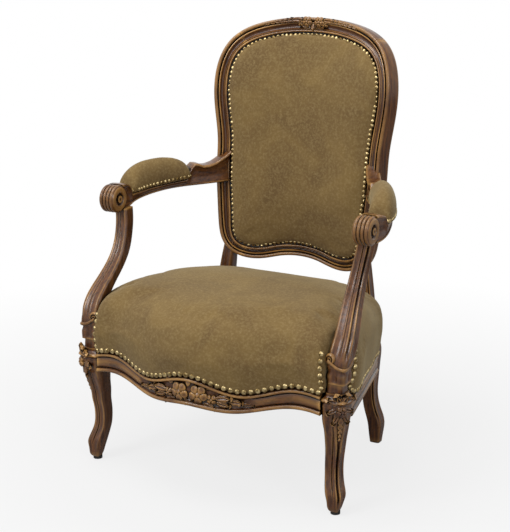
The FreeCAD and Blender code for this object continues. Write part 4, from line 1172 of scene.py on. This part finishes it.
def velvet(name, colours):
    """Cotton velvet, woven with a short pile: dull from in front, pale at its edges, with a fine rib.

    Real threads lie 0.3 mm apart; they are drawn about 1.4 mm apart, so that they show."""
    material, tree, shader, place = new_material(name)
    threads = node(tree, "TexNoise", {"Vector": place, "Scale": 700.0, "Detail": 2.0}).outputs[0]
    tufts = {"Vector": place, "Scale": 190.0, "Detail": 4.0, "Roughness": 0.7}
    pile = node(tree, "TexNoise", tufts).outputs[0]
    brushed = {"Vector": place, "Scale": 11.0, "Detail": 4.0, "Distortion": 0.8}
    strokes = node(tree, "TexNoise", brushed).outputs[0]
    # Random strokes of a darker, shaded copy of the velvet colour: painted shade.
    shade_strokes = node(tree, "MapRange", (strokes, 0.32, 0.7)).outputs[0]
    # Random specks of a lighter, lit copy of the velvet colour: painted highlight on the pile tips.
    tips = node(tree, "MapRange", (pile, 0.45, 0.75, 0.0, 0.55)).outputs[0]
    ground = {0: shade_strokes, 6: colours.velvet_painted_shade, 7: colours.velvet}
    ground = node(tree, "Mix", ground, data_type="RGBA").outputs[2]
    lit = {0: tips, 6: ground, 7: colours.velvet_pile_highlight}
    fit(tree, shader, {
        "Base Color": node(tree, "Mix", lit, data_type="RGBA").outputs[2],
        "Normal": node(tree, "Bump", {"Height": threads, "Strength": 0.35, "Distance": 0.0008}).outputs[0],
        "Roughness": 0.92, "Sheen Weight": 0.45, "Sheen Roughness": 0.4, "Sheen Tint": linear("#cfc4a0"),
    })
    return material


def speckled(name, scale, detail, spread, dark, light, roughness=0.5, metallic=0.0, along=(1, 1, 1)):
    """Two near colours in fine specks, as on a bare, worn or tarnished surface."""
    material, tree, shader, place = new_material(name)
    drawn = node(tree, "Mapping", {"Vector": place, "Scale": along}).outputs[0]
    specks = node(tree, "TexNoise", {"Vector": drawn, "Scale": scale, "Detail": detail}).outputs[0]
    share = node(tree, "MapRange", (specks, *spread)).outputs[0]
    if isinstance(roughness, tuple):
        roughness = node(tree, "MapRange", (specks, 0.3, 0.7, *roughness)).outputs[0]
    colour = node(tree, "Mix", {0: share, 6: dark, 7: light}, data_type="RGBA").outputs[2]
    fit(tree, shader, {"Base Color": colour, "Roughness": roughness, "Metallic": metallic})
    return material


def aged_brass(name, colours):
    """Pressed brass nail heads, browned by age in fine specks and bright between them."""
    return speckled(name, 160.0, 3.0, (0.35, 0.7), colours.brass_dark, colours.brass, (0.42, 0.26), 1.0)


def plain_wood(name):
    """Sawn and planed beech, left bare inside the frame: pale, with short darker flecks."""
    dark, light = linear("#8f6b44"), linear("#b58e5e")
    return speckled(name, 30.0, 5.0, (0.3, 0.7), dark, light, 0.62, along=(3, 20, 20))


def drawn_steel(name):
    """Drawn and coppered steel wire and screws, with a brushed, slightly brown skin."""
    dark, light = linear("#6f665c"), linear("#a39a8e")
    return speckled(name, 220.0, 3.0, (0.35, 0.65), dark, light, (0.3, 0.46), 1.0)


def moulded_plastic(name):
    """Glides moulded in black polyethylene, scuffed to grey underneath."""
    return speckled(name, 300.0, 4.0, (0.55, 0.75), linear("#16130f"), linear("#2c2823"))


def woven(name, thread_mm, light, dark):
    """A plain weave of flat strands over and under each other, drawn as two crossed waves."""
    material, tree, shader, place = new_material(name)
    inputs = {"Vector": place, "Scale": 1000 / (thread_mm * 20), "Distortion": 0.4}
    waves = [node(tree, "TexWave", inputs, bands_direction=way).outputs["Fac"] for way in ("X", "Y")]
    weave = node(tree, "Math", waves, operation="MULTIPLY").outputs[0]
    colours = {0: weave, 6: linear(dark), 7: linear(light)}
    fit(tree, shader, {
        "Base Color": node(tree, "Mix", colours, data_type="RGBA").outputs[2],
        "Normal": node(tree, "Bump", {"Height": weave, "Strength": 0.5, "Distance": 0.0006}).outputs[0],
        "Roughness": 0.9,
    })
    return material


def finish_nodes(material, *nodes):
    for name in nodes:
        for slot in frame["nodes"][name].material_slots:
            slot.material = material


# Sizes and colours that a user may change

def length(name, description, size, least, most):
    return FloatProperty(name=name, description=description, default=size, min=least, max=most, unit="LENGTH")


class ChairSizes(bpy.types.PropertyGroup):
    nail_pitch: length("Nail pitch", "Distance between the nails of the seat", 0.014, 0.008, 0.05)
    back_pitch: length("Back nail pitch", "Distance between the nails of back and arms", 0.0104, 0.006, 0.05)
    seat_nail: length("Seat nail head", "Width of the nail heads round the seat", 0.0122, 0.004, 0.014)
    back_nail: length("Back nail head", "Width of the nail heads on the back and arms", 0.0090, 0.004, 0.012)
    seat_travel: length("Seat swell", "How far the seat's stuffing may push its cover", 0.006, 0.0, 0.02)
    pad_travel: length("Pad swell", "How far the stuffing of the back and arms may push", 0.003, 0.0, 0.01)


def tint(name, description, colour):
    return FloatVectorProperty(name=name, description=description, subtype="COLOR", size=4, min=0.0, max=1.0,
                               default=linear(colour))


class ChairColours(bpy.types.PropertyGroup):
    wood: tint("Wood", "The stained wood in the light", "#6e431f")
    wood_dark: tint("Dark grain", "The dark streaks of the grain", "#34190d")
    # Painted highlight on the edges, mixed with wear to honey.
    wood_highlight_and_wear: tint("Edge highlight and wear", "Painted edge highlight, with the stain worn to honey", "#b88a4c")
    # Painted shade: the near-black colour laid into cuts and grooves.
    wood_painted_shade: tint("Recesses", "Painted shade in grooves and cuts", "#0f0704")
    velvet: tint("Velvet", "The cover, seen straight on", "#775f33")
    # Painted highlight: a lit copy of the velvet colour, laid in random specks.
    velvet_pile_highlight: tint("Velvet pile", "Painted highlight on the tips of the pile", "#9a8558")
    # Painted shade: a shaded copy of the velvet colour, laid in random strokes.
    velvet_painted_shade: tint("Velvet strokes", "Painted shade, laid in random strokes", "#634c28")
    brass: tint("Brass", "The nail heads where they are bright", "#d2bd8c")
    brass_dark: tint("Tarnish", "The nail heads where they have browned", "#6b5631")


def wood_for(grain):
    name = "French polished beech, grain along " + grain
    return bpy.data.materials.get(name) or stained_wood(name, grain, bpy.context.scene.chair_colours)


def velvet_cover():
    return bpy.data.materials.get("Cotton velvet") or velvet("Cotton velvet", bpy.context.scene.chair_colours)


def brass_heads():
    return bpy.data.materials.get("Aged brass") or aged_brass("Aged brass", bpy.context.scene.chair_colours)


def both_woods(piece, grain, node_name):
    """Finishes a right-hand wooden piece and its twin on the left."""
    twin = mirrored(piece, piece.name.replace("_right", "_left"))
    for one, side in ((piece, "_right"), (twin, "_left")):
        finish_piece(one, "stained_walnut", wood_for(grain), node_name + side)


class CHAIR_OT_front_legs(bpy.types.Operator):
    """Carve the two bent front legs"""
    bl_idname = "chair.front_legs"
    bl_label = "Front legs"

    def execute(self, context):
        leg = join("cabriole_leg_right", [front_leg("cabriole_leg"), knee_carving("knee_carving")])
        both_woods(leg, "z", "front_leg")
        return {"FINISHED"}


class CHAIR_OT_rear_posts(bpy.types.Operator):
    """Shape the back legs with the uprights of the back, each one piece of wood"""
    bl_idname = "chair.rear_posts"
    bl_label = "Back legs and uprights"

    def execute(self, context):
        post = join("rear_post_right", [rear_leg("back_leg"), upright("back_upright")])
        both_woods(post, "z", "rear_leg")
        return {"FINISHED"}


class CHAIR_OT_seat_rails(bpy.types.Operator):
    """Run the moulded front and side rails and carve the front one"""
    bl_idname = "chair.seat_rails"
    bl_label = "Seat rails"

    def execute(self, context):
        front = join("moulded_front_rail", [front_rail("front_rail_moulding"), rail_carving()])
        finish_piece(front, "stained_walnut", wood_for("x"), "front_rail")
        both_woods(side_rail("moulded_side_rail_right"), "y", "side_rail")
        return {"FINISHED"}


class CHAIR_OT_arms(bpy.types.Operator):
    """Shape the arms with their rolled ends, and the supports under them"""
    bl_idname = "chair.arms"
    bl_label = "Arms and supports"

    def execute(self, context):
        both_woods(arm("scrolled_arm_right"), "y", "arm")
        both_woods(arm_support("swept_support_right"), "z", "arm_support")
        return {"FINISHED"}


class CHAIR_OT_back_frame(bpy.types.Operator):
    """Run the crest rail and the lower rail of the back, and carve the crest"""
    bl_idname = "chair.back_frame"
    bl_label = "Crest and lower rail"

    def execute(self, context):
        rings = [frame_ring(s) for s in shares(60, CREST_JOINT + JOINT_GAP, 1.0)]
        crest = join("carved_crest", [sweep("crest_moulding", both_sides(rings)), crest_carving()])
        finish_piece(crest, "stained_walnut", wood_for("x"), "crest_rail")
        rings = [frame_ring(s) for s in shares(50, LOWER_JOINT - JOINT_GAP, 0.0)]
        lower = sweep("moulded_lower_rail", both_sides(rings))
        finish_piece(lower, "stained_walnut", wood_for("x"), "lower_back_rail")
        return {"FINISHED"}


class CHAIR_OT_seat_cushion(bpy.types.Operator):
    """Stuff and cover the seat, and nail its edge"""
    bl_idname = "chair.seat_cushion"
    bl_label = "Seat cushion"

    def execute(self, context):
        sizes = context.scene.chair_sizes
        cushion = seat_cushion("stuffed_seat", sizes.seat_travel / MM)
        finish_piece(cushion, "velvet", velvet_cover(), "seat_cushion", padded=0.9)
        nails = seat_nails("seat_nails", cushion, sizes.nail_pitch / MM, sizes.seat_nail / MM)
        finish_piece(nails, "antique_brass", brass_heads())
        return {"FINISHED"}


class CHAIR_OT_back_pad(bpy.types.Operator):
    """Stuff and cover the back, and nail its edge"""
    bl_idname = "chair.back_pad"
    bl_label = "Back pad"

    def execute(self, context):
        sizes = context.scene.chair_sizes
        pad = back_pad("stuffed_back", sizes.pad_travel / MM)
        finish_piece(pad, "velvet", velvet_cover(), "back_pad", padded=0.85)
        nails = back_nails("back_nails", pad, sizes.back_pitch / MM, sizes.back_nail / MM)
        finish_piece(nails, "antique_brass", brass_heads())
        return {"FINISHED"}


class CHAIR_OT_arm_pads(bpy.types.Operator):
    """Stuff and cover the arm pads, and nail their edges"""
    bl_idname = "chair.arm_pads"
    bl_label = "Arm pads"

    def execute(self, context):
        sizes = context.scene.chair_sizes
        pad = arm_pad("stuffed_arm_pad_right", sizes.pad_travel / MM)
        nails = arm_nails("arm_nails_right", pad, sizes.back_pitch / MM, sizes.back_nail / MM)
        for name in ("stuffed_arm_pad", "arm_nails"):
            mirrored(bpy.data.objects[name + "_right"], name + "_left")
        for side in ("_right", "_left"):
            pad, nails = bpy.data.objects["stuffed_arm_pad" + side], bpy.data.objects["arm_nails" + side]
            finish_piece(pad, "velvet", velvet_cover(), "arm_pad" + side, padded=0.9)
            finish_piece(nails, "antique_brass", brass_heads())
        return {"FINISHED"}


class CHAIR_OT_inner_parts(bpy.types.Operator):
    """Give the frame's hidden woods, springs, webbing, cloths and fixings their finishes"""
    bl_idname = "chair.inner_parts"
    bl_label = "Inner parts"

    def execute(self, context):
        finishes = {
            "beech": plain_wood("Planed beech"),
            "steel": drawn_steel("Coppered steel"),
            "jute_webbing": woven("Jute webbing", 2.0, "#a58a5c", "#5c4728"),
            "hessian": woven("Hessian", 1.2, "#a89066", "#6b5534"),
            "black_cambric": woven("Black cambric", 0.8, "#2b2927", "#121110"),
            "glide_black": moulded_plastic("Black polyethylene"),
            "velvet": velvet_cover(),
            "stained_walnut": wood_for("x"),
            "antique_brass": brass_heads(),
        }
        for part in frame["record"]["subparts"]:
            finish_nodes(finishes[part["material_slot"]], part["node"])
        return {"FINISHED"}


class CHAIR_OT_stage(bpy.types.Operator):
    """Set the floor, the studio lights and the camera"""
    bl_idname = "chair.stage"
    bl_label = "Studio"

    def execute(self, context):
        floor_and_world(context.scene)
        studio_lights()
        studio_camera(context.scene)
        return {"FINISHED"}


FLOOR_SIZE = 30.0
SHADOW_REACH = 0.45
PAPER_REACH = 1.5
ROOM_LIGHT = 0.42


def floor_and_world(scene):
    """A plain pale floor that keeps a faint shadow, under a white room."""
    deselect()
    bpy.ops.mesh.primitive_plane_add(size=FLOOR_SIZE, location=(0, 0, 0))
    floor = named("floor")
    material, tree, shader, place = new_material("Pale paper")
    fit(tree, shader, {"Base Color": linear("#b4b4b4"), "Roughness": 0.9})
    rays = node(tree, "LightPath")
    reach = node(tree, "VectorMath", {0: place}, operation="LENGTH").outputs["Value"]
    bare = node(tree, "MapRange", (reach, SHADOW_REACH, PAPER_REACH, 0.8, 1.0)).outputs[0]
    seen = node(tree, "Math", (rays.outputs["Is Camera Ray"], bare), operation="MULTIPLY")
    white = node(tree, "Emission", {"Color": (1, 1, 1, 1), "Strength": 1.0})
    paper = node(tree, "MixShader", (seen.outputs[0], shader.outputs[0], white.outputs[0]))
    fit(tree, tree.nodes["Material Output"], {"Surface": paper.outputs[0]})
    floor.data.materials.append(material)
    world = scene.world or bpy.data.worlds.new("Room")
    scene.world = world
    world.use_nodes = True
    tree = world.node_tree
    rays = node(tree, "LightPath")
    seen_by = (rays.outputs["Is Camera Ray"], rays.outputs["Is Glossy Ray"])
    seen = node(tree, "Math", seen_by, operation="MAXIMUM")
    strength = node(tree, "MapRange", (seen.outputs[0], 0.0, 1.0, ROOM_LIGHT, 1.0)).outputs[0]
    room = node(tree, "Background", {"Color": (1, 1, 1, 1), "Strength": strength}).outputs[0]
    fit(tree, tree.nodes["World Output"], {"Surface": room})
    scene.view_settings.view_transform = "Standard"


LAMPS = (("key", (-1.3, -2.6, 2.6), 1.2, 46.0), ("fill", (2.8, -1.6, 1.9), 0.9, 20.0),
         ("top", (-0.3, -0.5, 3.1), 1.5, 46.0))
LAMP_AIM = 0.45


def studio_lights():
    """Square lamps, each with its place, size and power, all turned to the middle of the chair."""
    for name, place, size, power in LAMPS:
        bpy.ops.object.light_add(type="AREA", location=place)
        lamp = bpy.context.object
        lamp.name = name
        lamp.data.size = size
        lamp.data.energy = power
        lamp.rotation_euler = (UP * LAMP_AIM - Vector(place)).to_track_quat("-Z", "Y").to_euler()


CAMERA_TURN = 0.5009361
CAMERA_RISE = 0.2701068
CAMERA_DISTANCE = 2.930012
CAMERA_TARGET = at(0, 0, 427.79)
SENSOR = 36.0
IMAGE_HEIGHT = 532
IMAGE_MIDDLE = (255, 266)
FOCAL_PIXELS = 1350.035
CENTRE_PIXEL = (258.587, 266.463)


def studio_camera(scene):
    """The camera where the photographer stood."""
    level = cos(CAMERA_RISE)
    back = Vector((sin(CAMERA_TURN) * level, -cos(CAMERA_TURN) * level, sin(CAMERA_RISE)))
    place = CAMERA_TARGET + back * CAMERA_DISTANCE
    bpy.ops.object.camera_add(location=place, rotation=(-back).to_track_quat("-Z", "Y").to_euler())
    camera = bpy.context.object
    camera.data.sensor_width = SENSOR
    camera.data.lens = FOCAL_PIXELS * SENSOR / IMAGE_HEIGHT
    camera.data.shift_x = -(CENTRE_PIXEL[0] - IMAGE_MIDDLE[0]) / IMAGE_HEIGHT
    camera.data.shift_y = (CENTRE_PIXEL[1] - IMAGE_MIDDLE[1]) / IMAGE_HEIGHT
    camera.data.dof.use_dof = False
    scene.camera = camera


PIECES = (
    CHAIR_OT_front_legs, CHAIR_OT_rear_posts, CHAIR_OT_seat_rails, CHAIR_OT_arms, CHAIR_OT_back_frame,
    CHAIR_OT_seat_cushion, CHAIR_OT_back_pad, CHAIR_OT_arm_pads, CHAIR_OT_inner_parts, CHAIR_OT_stage,
)


class CHAIR_PT_panel(bpy.types.Panel):
    """Lists the pieces of the chair"""
    bl_label = "Armchair"
    bl_idname = "CHAIR_PT_panel"
    bl_space_type = "VIEW_3D"
    bl_region_type = "UI"
    bl_category = "Armchair"

    def draw(self, context):
        for group in (context.scene.chair_sizes, context.scene.chair_colours):
            for name in group.bl_rna.properties.keys():
                if name not in ("rna_type", "name"):
                    self.layout.prop(group, name)
        for piece in PIECES:
            self.layout.operator(piece.bl_idname)


CLASSES = (ChairSizes, ChairColours) + PIECES + (CHAIR_PT_panel,)


def register():
    for one in CLASSES:
        bpy.utils.register_class(one)
    bpy.types.Scene.chair_sizes = PointerProperty(type=ChairSizes)
    bpy.types.Scene.chair_colours = PointerProperty(type=ChairColours)


def unregister():
    del bpy.types.Scene.chair_colours
    del bpy.types.Scene.chair_sizes
    for one in reversed(CLASSES):
        bpy.utils.unregister_class(one)


def main():
    register()
    for piece in PIECES:
        group, action = piece.bl_idname.split(".")
        getattr(getattr(bpy.ops, group), action)()


if __name__ == "__main__":
    main()
